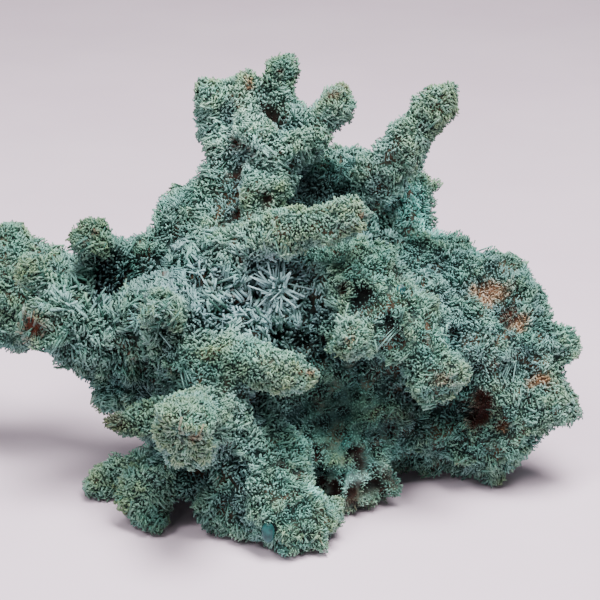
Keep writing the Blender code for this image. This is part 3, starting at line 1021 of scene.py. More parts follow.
class NodeSheet:
    """Builds shader nodes with short calls."""

    def __init__(self, tree: NodeTree) -> None:
        """Starts on a node tree.

        Args:
            tree: The tree that the nodes go into.
        """
        self.tree = tree

    def add(self, kind: str, **values: object) -> Node:
        """Adds a node and sets its own properties.

        Args:
            kind: The node's type name.
            **values: Properties of the node.

        Returns:
            The node.
        """
        node = self.tree.nodes.new(kind)
        for name, value in values.items():
            setattr(node, name, value)
        return node

    def join(self, source: object, target: NodeSocket) -> None:
        """Feeds a value or an output into a socket.

        Args:
            source: A plain value, or another node's output.
            target: The input it goes to.
        """
        if isinstance(source, NodeSocket):
            self.tree.links.new(source, target)
        else:
            target.default_value = source

    def times(self, a: object, b: object) -> NodeSocket:
        """The product of two values."""
        return self.math("MULTIPLY", a, b)

    def math(self, operation: str, a: object, b: object) -> NodeSocket:
        """One step of arithmetic on two values.

        Args:
            operation: The Math node's operation.
            a: The first value or socket.
            b: The second value or socket.

        Returns:
            The result's socket.
        """
        node = self.add("ShaderNodeMath", operation=operation)
        self.join(a, node.inputs[0])
        self.join(b, node.inputs[1])
        return node.outputs[0]

    def blend(self, share: object, a: object, b: object) -> NodeSocket:
        """Mixes two colours.

        Args:
            share: How much of the second.
            a: The first colour.
            b: The second colour.

        Returns:
            The mixed colour's socket.
        """
        node = self.add("ShaderNodeMix", data_type="RGBA")
        for number, value in ((0, share), (6, a), (7, b)):
            self.join(value, node.inputs[number])
        return node.outputs[2]

    def spread(
        self, value: object, low: float, high: float, out_low: float = 0.0, out_high: float = 1.0
    ) -> NodeSocket:
        """Stretches a range smoothly onto another.

        Args:
            value: The value to stretch.
            low: Where the range starts.
            high: Where it ends.
            out_low: The value at the start.
            out_high: The value at the end.

        Returns:
            The stretched value's socket.
        """
        node = self.add("ShaderNodeMapRange", interpolation_type="SMOOTHSTEP")
        self.join(value, node.inputs["Value"])
        ends = {"From Min": low, "From Max": high, "To Min": out_low, "To Max": out_high}
        for name, end in ends.items():
            node.inputs[name].default_value = end
        return node.outputs["Result"]

    def noise(self, where: object, scale: object, detail: float = 4.0) -> NodeSocket:
        """Noise of one size.

        Args:
            where: The coordinates' socket.
            scale: How many lumps to a metre.
            detail: How many finer layers.

        Returns:
            The noise value's socket.
        """
        node = self.add("ShaderNodeTexNoise")
        given = {"Vector": where, "Scale": scale, "Detail": detail, "Roughness": NOISE_ROUGHNESS}
        for name, value in given.items():
            self.join(value, node.inputs[name])
        return node.outputs["Fac"]

    def attribute(self, name: str) -> Node:
        """Reads an attribute of the piece."""
        return self.add("ShaderNodeAttribute", attribute_name=name, attribute_type="GEOMETRY")


@dataclass(frozen=True)
class GrowthPattern:
    """How colour and grain change over the mineral.

    A range gives where it starts and ends and, where they aren't 0 and 1, its least and most.
    """

    drift_lumps: float = 130.0
    patch_lumps: float = 420.0
    green_patches: tuple[float, ...] = (0.3, 0.62, 0.45, 1.0)
    teal_drifts: tuple[float, ...] = (0.48, 0.72, 0.0, 0.35)
    least_tone: float = 0.70
    needle_tone: float = 0.42
    patch_tone: tuple[float, ...] = (0.25, 0.7, 0.82, 1.12)
    fine_tone: tuple[float, ...] = (0.25, 0.75, 0.86, 1.1)
    above_root: tuple[float, ...] = (0.18, 1.0)
    fleck_needles: tuple[float, ...] = (0.90, 0.97)
    fleck_patches: tuple[float, ...] = (0.52, 0.62)
    fleck_rust: float = 0.6
    fleck_depth: float = 0.7
    ragged_stain: tuple[float, ...] = (0.3, 0.55, 0.5, 1.0)
    sombre_stain: tuple[float, ...] = (0.08, 0.2)
    # how much the painted shade darkens and enriches the colour
    shade_darkness: float = 0.85
    shade_richness: float = 0.35
    least_shade: float = -0.5
    uneven_roughness: float = 0.3
    patch_height: float = 0.6


def mineral_group(pattern: GrowthPattern) -> NodeTree:
    """The mineral's colour and grain, shared by the needles and the crust.

    Args:
        pattern: How they change over the surface.

    Returns:
        A group that puts out colour, roughness and height.
    """
    group = bpy.data.node_groups.new("mineral_growth", "ShaderNodeTree")
    sockets = [(name.capitalize(), "INPUT", "Color") for name in MINERAL_COLOURS]
    sockets += [("Grain", "INPUT", "Float"), ("Rough", "INPUT", "Float")]
    sockets += [("Color", "OUTPUT", "Color")]
    sockets += [(name, "OUTPUT", "Float") for name in ("Roughness", "Height")]
    for name, way, kind in sockets:
        group.interface.new_socket(name=name, in_out=way, socket_type=f"NodeSocket{kind}")
    sheet = NodeSheet(group)
    given = sheet.add("NodeGroupInput").outputs
    out = sheet.add("NodeGroupOutput").inputs
    where = sheet.add("ShaderNodeTexCoord").outputs["Object"]
    coat = sheet.attribute("coat")
    split = sheet.add("ShaderNodeSeparateColor")
    sheet.join(coat.outputs["Color"], split.inputs[0])
    lot = coat.outputs["Alpha"]
    marks = sheet.add("ShaderNodeSeparateColor")
    sheet.join(sheet.attribute("marks").outputs["Color"], marks.inputs[0])
    rust, gloom, grow = marks.outputs[0], marks.outputs[1], marks.outputs[2]
    shade = sheet.attribute("marks").outputs["Alpha"]

    broad = sheet.noise(where, pattern.drift_lumps, 3.0)
    patchy = sheet.noise(where, pattern.patch_lumps, 4.0)
    fine = sheet.noise(where, given["Grain"], 3.0)

    colour = sheet.blend(split.outputs[2], given["Sage"], given["Teal"])
    colour = sheet.blend(split.outputs[1], colour, given["Slate"])
    green_patches = sheet.spread(patchy, *pattern.green_patches)
    greener = sheet.times(split.outputs[0], green_patches)
    colour = sheet.blend(greener, colour, given["Olive"])
    drift = sheet.spread(broad, *pattern.teal_drifts)
    colour = sheet.blend(drift, colour, given["Teal"])
    tone = sheet.times(lot, pattern.needle_tone)
    tone = sheet.math("ADD", tone, pattern.least_tone)
    tone = sheet.times(tone, sheet.spread(patchy, *pattern.patch_tone))
    tone = sheet.times(tone, sheet.spread(fine, *pattern.fine_tone))
    lit = sheet.add("ShaderNodeHueSaturation")
    sheet.join(colour, lit.inputs["Color"])
    sheet.join(tone, lit.inputs["Value"])
    # painted shade: darker towards the roots, deep between the needles
    deep = sheet.spread(grow, *pattern.above_root)
    colour = sheet.blend(deep, given["Root"], lit.outputs["Color"])
    few = sheet.spread(lot, *pattern.fleck_needles)
    in_patches = sheet.spread(patchy, *pattern.fleck_patches)
    fleck = sheet.times(few, in_patches)
    stain = sheet.times(rust, sheet.spread(fine, *pattern.ragged_stain))
    rusty_fleck = sheet.times(fleck, pattern.fleck_rust)
    stain = sheet.math("MAXIMUM", stain, rusty_fleck)
    sombre = sheet.spread(sheet.math("DIVIDE", gloom, rust), *pattern.sombre_stain)
    deep_fleck = sheet.times(fleck, pattern.fleck_depth)
    deepest = sheet.math("MAXIMUM", sombre, deep_fleck)
    stained = sheet.blend(deepest, given["Rust"], given["Deep"])
    colour = sheet.blend(stain, colour, stained)
    # painted shade: the gloom darkens holes, pits and pores
    colour = sheet.blend(gloom, colour, given["Gloom"])
    # painted shade darkens the colour; below nought it lightens it, as painted light or paleness
    dim = sheet.add("ShaderNodeHueSaturation")
    sheet.join(colour, dim.inputs["Color"])
    darker = sheet.times(shade, pattern.shade_darkness)
    sheet.join(sheet.math("SUBTRACT", 1.0, darker), dim.inputs["Value"])
    richer = sheet.math("MAXIMUM", shade, pattern.least_shade)
    richer = sheet.times(richer, pattern.shade_richness)
    sheet.join(sheet.math("ADD", 1.0, richer), dim.inputs["Saturation"])
    sheet.join(dim.outputs["Color"], out["Color"])
    uneven = sheet.math("SUBTRACT", fine, 0.5)
    uneven = sheet.times(uneven, pattern.uneven_roughness)
    sheet.join(sheet.math("ADD", given["Rough"], uneven), out["Roughness"])
    coarse = sheet.times(patchy, pattern.patch_height)
    sheet.join(sheet.math("ADD", fine, coarse), out["Height"])
    return group


class Finishes:
    """Makes the materials, and keeps the group that two of them share."""

    def __init__(self) -> None:
        """Builds the shared group."""
        self.group = mineral_group(GrowthPattern())

    def _start(
        self, name: str, specular: float
    ) -> tuple[Material, NodeSheet, bpy.types.bpy_prop_collection]:
        """An empty material with its Principled shader.

        Args:
            name: The material's name.
            specular: The strength of its gloss.

        Returns:
            The material, its sheet and its shader's inputs.
        """
        material = bpy.data.materials.new(name)
        material.use_nodes = True
        shader = next(n for n in material.node_tree.nodes if n.type == "BSDF_PRINCIPLED")
        shader.inputs["Specular IOR Level"].default_value = specular
        return material, NodeSheet(material.node_tree), shader.inputs

    def growth(self, name: str, finish: MineralFinish) -> Material:
        """The material of needles or crust.

        Args:
            name: The material's name.
            finish: Its colours and grain.

        Returns:
            The material.
        """
        material, sheet, shader = self._start(name, finish.specular)
        growth = sheet.add("ShaderNodeGroup", node_tree=self.group)
        for colour in MINERAL_COLOURS:
            growth.inputs[colour.capitalize()].default_value = linear(*getattr(finish, colour))
        growth.inputs["Grain"].default_value = finish.grain
        growth.inputs["Rough"].default_value = finish.roughness
        bump = sheet.add("ShaderNodeBump")
        bump.inputs["Strength"].default_value = finish.bump
        bump.inputs["Distance"].default_value = BUMP_HEIGHT
        sheet.join(growth.outputs["Color"], shader["Base Color"])
        sheet.join(growth.outputs["Roughness"], shader["Roughness"])
        sheet.join(growth.outputs["Height"], bump.inputs["Height"])
        sheet.join(bump.outputs["Normal"], shader["Normal"])
        return material

    def cloudy(self, name: str, finish: CloudyFinish) -> Material:
        """The material of the beads or the floor.

        Args:
            name: The material's name.
            finish: Its two colours and its gloss.

        Returns:
            The material.
        """
        material, sheet, shader = self._start(name, finish.specular)
        where = sheet.add("ShaderNodeTexCoord").outputs["Object"]
        share = sheet.spread(sheet.noise(where, finish.clouds, finish.detail), *finish.edges)
        colour = sheet.blend(share, linear(*finish.dark), linear(*finish.light))
        sheet.join(colour, shader["Base Color"])
        shader["Roughness"].default_value = finish.roughness
        if finish.rougher:
            worn = finish.roughness + finish.rougher
            smears = sheet.noise(where, SMEARS)
            sheet.join(sheet.spread(smears, 0.3, 0.7, finish.roughness, worn), shader["Roughness"])
        return material


def store_growth(mesh: Mesh, coat: Array, marks: Array) -> None:
    """Writes the growth's values onto a mesh for its material.

    Args:
        mesh: The piece's mesh.
        coat: For each point its shares of olive, slate and teal, and its lot.
        marks: For each point its rust, gloom, height on the needle, and painted shade.
    """
    for name, values in (("coat", coat), ("marks", marks)):
        attribute = mesh.attributes.new(name, "FLOAT_COLOR", "POINT")
        attribute.data.foreach_set("color", np.ascontiguousarray(values, dtype=np.float32).ravel())


# --- crust


@dataclass
class Crust:
    """The lumpy crust that the needles grow from, painted dark as the shade between them."""

    skin: Skin
    lump: float = 0.35
    lump_sizes: tuple[float, float] = (2.2, 0.9)
    # painted shade: how far the crust's colour rises from its dark root colour
    sheltered_height: float = 0.40
    porous_height: float = 0.45
    pore_height: float = 0.9
    lump_height: float = 0.6
    # pore_gloom is painted shade in the pores
    pore_gloom: float = 0.45
    thin_crust: float = 1.2
    thinning: float = 0.4
    stain_size: float = 3.2
    stain_gain: float = 2.5
    stain_from: float = 0.1
    tone_size: float = 0.8
    pore_count: int = 420
    pore_depth: float = 0.9
    pore_radii: tuple[float, float] = (0.55, 1.2)
    pores_from: float = 0.35
    least_depth: float = 0.15
    brown: float = 0.4

    def _pores(self, points: Array, porous: Array) -> Array:
        """Depth of the small pores of the worn parts.

        Args:
            points: The net's points in millimetres.
            porous: How worn the skin is at each, 0 to 1.

        Returns:
            A depth in millimetres for each point.
        """
        rng = np.random.default_rng(SEED + 5)
        worn = np.flatnonzero(porous > self.pores_from)
        depth = np.zeros(len(points))
        if not len(worn):
            return depth
        tree = KDTree(len(worn))
        for index in worn.tolist():
            tree.insert(points[index], index)
        tree.balance()
        for centre in rng.choice(worn, min(self.pore_count, len(worn)), replace=False).tolist():
            radius = rng.uniform(*self.pore_radii)
            for _, index, distance in tree.find_range(points[centre], radius):
                dip = self.pore_depth * (1.0 - (distance / radius) ** 2)
                depth[index] = max(depth[index], dip)
        return depth

    def build(self) -> Object:
        """Presses the skin in to the needles' roots.

        Returns:
            The crust as one piece.
        """
        f = self.skin.fields
        points, normals = f["points"], f["normals"]
        lumps = np.zeros(len(points))
        for size, pattern in zip(self.lump_sizes, (Pattern.CRUST_LUMPS, Pattern.CRUST_GRAINS)):
            lumps = lumps + wander(points, size, pattern) * self.lump
        porous = np.clip((self.thin_crust - f["crust"]) / self.thinning, 0.0, 1.0) * (f["teal"] > 0.5)
        pores = self._pores(points, porous)
        down = f["crust"] + f["depth"] + pores + lumps
        down = self.skin.spread(down[:, None], 1)[:, 0]
        placed = points - normals * np.maximum(down, self.least_depth)[:, None]
        placed[:, 2] = np.maximum(placed[:, 2], 0.0)
        self.skin.mesh.vertices.foreach_set("co", (placed * MM).ravel())
        bm = bmesh.new()
        bm.from_mesh(self.skin.mesh)
        for face in bm.faces:
            face.smooth = True
        bpy.data.meshes.remove(self.skin.mesh)
        piece = new_object("dark_crust", bm)
        # painted shade: darker in the pores and between the lumps
        height = self.sheltered_height + self.porous_height * porous
        height = height - pores * self.pore_height + lumps * self.lump_height
        height = np.clip(height, 0.0, 1.0)
        lot = 0.5 + 0.5 * wander(points, self.tone_size, Pattern.CRUST_TONE)
        stains = wander(points, self.stain_size, Pattern.BROWN_STAINS)
        brown = self.brown * np.clip(stains * self.stain_gain - self.stain_from, 0.0, 1.0)
        # painted shade: gloom in the pores
        gloom = np.maximum(f["gloom"], np.clip(pores / self.pore_depth, 0, 1) * self.pore_gloom)
        store_growth(
            piece.data,
            np.stack([f["olive"], f["slate"], f["teal"], lot], axis=1),
            np.stack([np.maximum(f["rust"], brown), gloom, height, f["shade"]], axis=1),
        )
        return piece


# --- needles


@dataclass
class NeedleShape:
    """One needle as a template: a closed three-sided rod, or a wedge that ends in its root."""

    stout: bool
    slant: float = 0.5
    margin: float = 0.04
    span: float = 0.92
    cap_rows: tuple[float, float] = (0.08, 0.91)
    side_rows: tuple[float, float] = (0.17, 0.82)

    def build(self) -> tuple[Array, list[list[int]], list[list[tuple[float, float]]]]:
        """Makes the needle, of unit length and width.

        Returns:
            Its points, its faces, and the flat place of each face's corners.
        """
        bm = bmesh.new()
        bmesh.ops.create_cone(
            bm, cap_ends=True, segments=3, radius1=0.5 if self.stout else 0.0, radius2=0.5, depth=1.0
        )
        bmesh.ops.translate(bm, verts=bm.verts, vec=(0.0, 0.0, 0.5))
        bmesh.ops.recalc_face_normals(bm, faces=bm.faces)
        bm.verts.index_update()
        points = np.array([vertex.co[:] for vertex in bm.verts])
        faces = [[vertex.index for vertex in face.verts] for face in bm.faces]
        flat = [self._flat(face) for face in bm.faces]
        bm.free()
        return points, faces, flat

    def _flat(self, face: bmesh.types.BMFace) -> list[tuple[float, float]]:
        """Where a face's corners lie in the needle's own cell of the flat map.

        Args:
            face: A face of the needle.

        Returns:
            A place within the unit cell for each corner.
        """
        levels = [vertex.co.z for vertex in face.verts]
        if max(levels) - min(levels) < 0.5:
            middle = self.cap_rows[0] if levels[0] < 0.5 else self.cap_rows[1]
            return [(0.5 + 0.6 * v.co.x, middle + 0.10 * v.co.y) for v in face.verts]
        centre = face.calc_center_median()
        turn = math.atan2(centre.y, centre.x) / math.tau % 1.0
        places = []
        for vertex in face.verts:
            angle = math.atan2(vertex.co.y, vertex.co.x) / math.tau
            near = angle + round(turn - angle) if vertex.co.xy.length > 0.1 else turn
            row = self.side_rows[0] if vertex.co.z < 0.5 else self.side_rows[1]
            places.append((self.margin + self.span * near, row))
        low = min(u for u, _ in places)
        shift = -math.floor(low + 1e-6) if low < -1e-6 else 0
        return [(u + self.span * shift, v) for u, v in places]


@dataclass
class NeedleField:
    """All the needles of the specimen as arrays, before they are joined into pieces."""

    tips: Array
    ways: Array
    lengths: Array
    widths: Array
    stout: Array
    coat: Array
    rust: Array
    gloom: Array
    foot: Array
    # painted shade of each needle
    shade: Array
    normals: Array


@dataclass(frozen=True)
class Layer:
    """One of the layers that the needles stand in, from the tips down.

    Gap, length, width, scatter and lean are shares of the coat's own; back is how far the tips
    stand back, as a share of the recess, or of the crust's depth where the layer is buried.
    """

    gap: float
    back: tuple[float, float]
    power: float
    length: float
    width: float
    scatter: float
    lean: float
    # painted shade: how much darker the layer's needles are
    shade: float
    rods: bool = False
    buried: bool = False


LAYERS: tuple[Layer, ...] = (
    Layer(2.3, (-0.35, 0.35), 1.0, 1.25, 1.15, 0.7, 1.6, 0.0, rods=True),
    Layer(1.0, (0.0, 1.0), 2.0, 1.0, 1.0, 1.0, 1.0, 0.0),
    Layer(1.2, (0.45, 0.95), 1.0, 0.8, 1.0, 2.0, 1.0, 0.12, buried=True),
)


@dataclass
class Tufts:
    """The tufts that the needles fan from, and the bundles within them."""

    skin: Skin
    rng: np.random.Generator
    places_tried: int = 90000
    bundle_spacing: float = 1.35
    least_size: float = 1.5
    size_by_length: float = 0.5
    size_spread: tuple[float, float] = (0.7, 1.35)
    focus_spread: tuple[float, float] = (0.7, 1.3)
    lean_spread: tuple[float, float] = (0.2, 1.2)
    crack: float = 1.0
    crack_power: float = 1.3
    tree: KDTree = field(init=False)
    foci: Array = field(init=False)
    lean: Array = field(init=False)
    tone: Array = field(init=False)
    bundle_tree: KDTree = field(init=False)
    bundle_way: Array = field(init=False)

    def __post_init__(self) -> None:
        """Places the tufts and the bundles at once."""
        sample = self.skin.scatter(self.places_tried, self.rng)
        places = self.skin.read("points", sample)
        kept = thin_out(places, np.full(len(places), self.bundle_spacing))
        self.bundle_tree = self._tree(places[kept])
        self.bundle_way = self._sideways(self.skin.read("broad", sample.take(kept)))
        size = self.least_size + self.size_by_length * self.skin.read("length", sample)
        kept = thin_out(places, size * self.rng.uniform(*self.size_spread, len(size)))
        sample, places, count = sample.take(kept), places[kept], len(kept)
        broad = self.skin.read("broad", sample)
        focus = self.skin.read("focus", sample) * self.rng.uniform(*self.focus_spread, count)
        lean = self.skin.read("lean", sample) * self.rng.uniform(*self.lean_spread, count)
        self.foci = places - broad * focus[:, None]
        self.lean = self._sideways(broad) * lean[:, None]
        self.tone = self.rng.uniform(-1.0, 1.0, (count, 4))
        self.tree = self._tree(places)

    def _tree(self, places: Array) -> KDTree:
        """A search tree of places.

        Args:
            places: Points in millimetres, one a row.

        Returns:
            The tree, with each place under its row's number.
        """
        tree = KDTree(len(places))
        for index, place in enumerate(places.tolist()):
            tree.insert(place, index)
        tree.balance()
        return tree

    def _sideways(self, up: Array) -> Array:
        """A random way along the skin for each upward way."""
        return unit(np.cross(up, unit(self.rng.normal(size=up.shape))))

    def nearest(self, points: Array) -> tuple[Array, Array, Array]:
        """The tuft and the bundle of each point, and how near its tuft's edge it is.

        Args:
            points: Points in millimetres.

        Returns:
            Two arrays of indices, and an array of nearness from 0 to 1.
        """
        rows = points.tolist()
        pairs = [self.tree.find_n(place, 2) for place in rows]
        tuft = np.array([pair[0][1] for pair in pairs])
        apart = np.array([pair[1][2] - pair[0][2] for pair in pairs])
        bundle = np.array([self.bundle_tree.find(place)[1] for place in rows])
        return tuft, bundle, np.clip(1.0 - apart / self.crack, 0.0, 1.0) ** self.crack_power


@dataclass
class RodGrowth:
    """Grows the round sprays and the sheaves rod by rod, in millimetres and degrees."""

    skin: Skin
    rng: np.random.Generator
    width_spread: tuple[float, float] = (0.65, 1.25)
    lot: tuple[float, float] = (0.66, 0.2)
    # rods on pale spots are lighter, partly as painted light
    lot_if_pale: float = 0.4
    olive_share: float = 0.4
    teal: float = 0.12
    # painted shade: rods take this share of their place's shade, and their feet are darker
    shade_share: float = 0.7
    foot: float = 0.55
    star_lengths: tuple[float, float] = (0.35, 1.0)
    star_lie: tuple[float, float] = (12.0, 76.0)
    upright_shorter: float = 0.28
    least_bundles: int = 5
    bundle_rods: int = 5
    bundle_turn: float = 2.4
    bundle_width: float = 0.2
    star_sunk: float = 0.8
    root_scatter: float = 0.6
    sheaf_lengths: tuple[float, float] = (0.65, 1.1)
    sheaf_sunk: tuple[float, float] = (0.9, 0.0)
    rod_gap: float = 0.9
    deepest_root: float = 0.6
    unruly: float = 0.4

    def _rods(self, place: int, root: Array, run: Array, width: float) -> NeedleField:
        """Grows rods that are placed one by one.

        Args:
            place: The point of the skin that they take their colours from.
            root: Where each rod starts.
            run: From each rod's start to its end.
            width: Their middling width.

        Returns:
            The rods.
        """
        count, fields, rng = len(root), self.skin.fields, self.rng
        lot = rng.normal(*self.lot, count) + self.lot_if_pale * fields["pale"][place]
        lot = np.clip(lot, 0.0, HIGHEST_LOT)
        shares = (fields["olive"][place] * self.olive_share, fields["slate"][place], self.teal)
        return NeedleField(
            tips=root + run,
            ways=unit(run),
            lengths=np.linalg.norm(run, axis=1),
            widths=width * rng.uniform(*self.width_spread, count),
            stout=np.ones(count, dtype=bool),
            coat=np.stack([np.full(count, share) for share in shares] + [lot], axis=1),
            rust=np.zeros(count),
            gloom=np.zeros(count),
            foot=np.full(count, self.foot),
            shade=np.full(count, fields["shade"][place] * self.shade_share),
            normals=np.repeat(fields["broad"][place][None, :], count, axis=0),
        )

    def _nearest(self, spot: Point) -> int:
        """The point of the skin that is nearest to a spot."""
        return int(np.linalg.norm(self.skin.fields["points"] - np.array(spot), axis=1).argmin())

    def star(self, star: Star) -> NeedleField:
        """Grows one round spray of rods.

        Args:
            star: The spray.

        Returns:
            Its rods.
        """
        count, place, rng = star.rods, self._nearest(star.centre), self.rng
        up = self.skin.fields["broad"][place]
        across = unit(np.cross(up, [[0.3, 0.5, 0.8]]))[0]
        third = np.cross(up, across)
        bundles = max(self.least_bundles, count // self.bundle_rods)
        turn = rng.integers(0, bundles, count) * self.bundle_turn
        turn = turn + rng.normal(0.0, self.bundle_width, count)
        steepest, more = self.star_lie
        lie = np.radians(steepest + more * np.sqrt(rng.random(count)))
        side = np.cos(turn)[:, None] * across + np.sin(turn)[:, None] * third
        ways = up * np.cos(lie)[:, None] + side * np.sin(lie)[:, None]
        lengths = star.reach * rng.uniform(*self.star_lengths, count)
        lengths = lengths * (1.0 - self.upright_shorter + self.upright_shorter * np.sin(lie))
        root = self.skin.fields["points"][place] - up * self.star_sunk
        root = root + rng.normal(0.0, self.root_scatter, (count, 3))
        return self._rods(place, root, ways * lengths[:, None], star.width)

    def sheaf(self, sheaf: Sheaf) -> NeedleField:
        """Grows a few rods side by side.

        Args:
            sheaf: The rods' place.

        Returns:
            The rods.
        """
        count, fields, rng = sheaf.rods, self.skin.fields, self.rng
        ends = [self._nearest(spot) for spot in (sheaf.start, sheaf.end)]
        start, end = (
            fields["points"][place] - fields["normals"][place] * sunk
            for place, sunk in zip(ends, self.sheaf_sunk)
        )
        place = self._nearest(tuple((start + end) / 2))
        beside = unit(np.cross(end - start, fields["broad"][place])[None, :])[0]
        step = (np.arange(count) - (count - 1) / 2) * sheaf.width * self.rod_gap
        deeper = rng.uniform(0.0, self.deepest_root, count)[:, None] * fields["broad"][place]
        root = start + beside * step[:, None] - deeper
        reach = float(np.linalg.norm(end - start))
        run = (end - start) + beside * (step * sheaf.splay * 2.0)[:, None]
        run = run + rng.normal(0.0, sheaf.splay * reach * self.unruly, (count, 3))
        run = run * rng.uniform(*self.sheaf_lengths, count)[:, None]
        return self._rods(place, root, run, sheaf.width)


@dataclass
class NeedleGrowth:
    """Grows the needles over the skin, layer by layer."""

    skin: Skin
    candidates: int = 600000
    bead_room: float = 0.15
    lowest_place: float = 0.25
    lowest_tip: float = 0.15
    least_rise: float = 0.2
    gap_spread: tuple[float, float] = (0.85, 1.15)
    length_spread: tuple[float, float] = (0.65, 1.2)
    width_spread: tuple[float, float] = (0.7, 1.3)
    shorter_at_cracks: float = 0.3
    shorter_if_bare: float = 0.5
    back_at_cracks: float = 0.85
    back_by_tuft: float = 0.35
    proud_share: float = 0.06
    proud_reach: float = 0.35
    steepening: float = 1.15
    middle_lot: float = 0.5
    lot_spread: float = 0.24
    lot_by_tuft: float = 0.18
    # needles on pale spots are lighter, partly as painted light
    lot_if_pale: float = 0.6
    # painted shade: needles this long get the darkest feet, and cracks between tufts are darker
    full_length: float = 2.4
    crack_shade: float = 0.4
    tuft_olive: float = 0.5
    tuft_slate: float = 0.4
    tuft_teal: float = 0.25
    most_bare: tuple[float, float] = (0.3, 0.8)
    most_bare_buried: tuple[float, float] = (0.75, 1.0)
    star_clear: float = 0.6
    clear_spread: tuple[float, float] = (0.8, 1.1)
    rng: np.random.Generator = field(default_factory=lambda: np.random.default_rng(SEED))

    def grow(self) -> NeedleField:
        """Grows every needle.

        Returns:
            The needles as arrays.
        """
        tufts = Tufts(self.skin, self.rng)
        layers = [self._grow_layer(layer, tufts) for layer in LAYERS]
        rods = RodGrowth(self.skin, self.rng)
        layers += [rods.star(star) for star in STARS]
        layers += [rods.sheaf(sheaf) for sheaf in SHEAVES]
        names = NeedleField.__dataclass_fields__
        return NeedleField(
            **{name: np.concatenate([getattr(layer, name) for layer in layers]) for name in names}
        )

    def _choose(self, layer: Layer) -> Sample:
        """Finds the places where a layer's needles end.

        Args:
            layer: The layer.

        Returns:
            The places.
        """
        rng = self.rng
        count = self.candidates // 1
        sample = self.skin.scatter(count, rng)
        points = self.skin.read("points", sample)
        room = np.array(BEAD_RADII) + self.bead_room
        bead = np.linalg.norm((points - np.array(BEAD_CENTRE)) / room, axis=1)
        free = (bead > 1.0) & (points[:, 2] > self.lowest_place)
        if layer.rods:
            free &= rng.random(count) < self.skin.read("rods", sample)
        most_bare = self.most_bare_buried if layer.buried else self.most_bare
        free &= self.skin.read("bare", sample) < rng.uniform(*most_bare, count)
        if not layer.buried:
            for star in STARS:
                away = np.linalg.norm(points - np.array(star.centre), axis=1)
                clear = star.reach * self.star_clear * rng.uniform(*self.clear_spread, count)
                free &= away > clear
        chosen = np.flatnonzero(free)
        gap = self.skin.read("spacing", sample.take(chosen)) * layer.gap
        gap *= rng.uniform(*self.gap_spread, len(chosen))
        return sample.take(chosen[thin_out(points[chosen], gap)])

    def _grow_layer(self, layer: Layer, tufts: Tufts) -> NeedleField:
        """Grows one layer.

        Args:
            layer: The layer.
            tufts: The tufts that the needles belong to.

        Returns:
            The layer's needles.
        """
        sample, rng = self._choose(layer), self.rng
        f = {name: self.skin.read(name, sample) for name in self.skin.fields}
        points, normals, total = f["points"], f["normals"], len(f["points"])
        LOG.info("needles in a layer: %d", total)
        tuft, bundle, edge = tufts.nearest(points)
        tone = tufts.tone[tuft]
        edge = edge * (0.5 + 0.5 * np.abs(tone[:, 0]))

        ways = unit(points - tufts.foci[tuft]) + tufts.lean[tuft] * layer.lean
        ways = ways + tufts.bundle_way[bundle] * (f["bundle"] * layer.lean)[:, None]
        ways = unit(ways + rng.normal(size=ways.shape) * (f["scatter"] * layer.scatter)[:, None])
        lengths = f["length"] * layer.length * rng.uniform(*self.length_spread, total)
        lengths = lengths * (1.0 - self.shorter_at_cracks * edge)
        lengths = lengths * (1.0 - self.shorter_if_bare * f["bare"])
        share = layer.back[0] + (layer.back[1] - layer.back[0]) * rng.random(total) ** layer.power
        if layer.buried:
            back = share * f["crust"] + f["depth"] * 0.9
        else:
            clumped = self.back_at_cracks * edge + self.back_by_tuft * tone[:, 3]
            back = share * f["recess"] + f["clump"] * clumped
            out = rng.random(total) < self.proud_share
            back[out] = -rng.uniform(0.0, self.proud_reach, int(out.sum()))
        rise = (ways * normals).sum(axis=1)
        least = np.maximum(self.least_rise, (f["crust"] + f["depth"] + 0.1 - back) / lengths)
        lacking = np.clip(least - rise, 0.0, None)[:, None]
        ways = unit(ways + normals * lacking * self.steepening)
        tips = points - normals * back[:, None]
        tips[:, 2] = np.maximum(tips[:, 2], self.lowest_tip)
        lot = rng.normal(self.middle_lot, self.lot_spread, total) + self.lot_by_tuft * tone[:, 1]
        # painted shade darkens the buried layer; pale spots lighten it, partly as painted light
        lot = lot - layer.shade + self.lot_if_pale * f["pale"]
        lot = np.clip(lot, 0.0, np.maximum(HIGHEST_LOT, rng.random(total)))
        olive = f["olive"] * (1.0 + self.tuft_olive * tone[:, 2])
        slate = f["slate"] * (1.0 - self.tuft_slate * tone[:, 2])
        teal = f["teal"] + self.tuft_teal * np.clip(tone[:, 0], 0.0, 1.0)
        stout = rng.random(total) < (1.0 if layer.rods else f["stout"])
        return NeedleField(
            tips=tips,
            ways=ways,
            lengths=lengths,
            widths=f["width"] * layer.width * rng.uniform(*self.width_spread, total),
            stout=stout & (not layer.buried),
            coat=np.clip(np.stack([olive, slate, teal, lot], axis=1), 0.0, 1.0),
            rust=f["rust"],
            # painted shade: gloom in holes, and more on the buried layer
            gloom=np.maximum(f["gloom"] * 0.7, layer.shade * 0.5),
            # painted shade at the root: the longer the needle, the darker its foot
            foot=np.clip(1.0 - lengths / self.full_length, 0.0, 1.0),
            # painted shade, more at the tufts' cracks
            shade=1.0 - (1.0 - f["shade"]) * (1.0 - self.crack_shade * edge),
            normals=normals,
        )


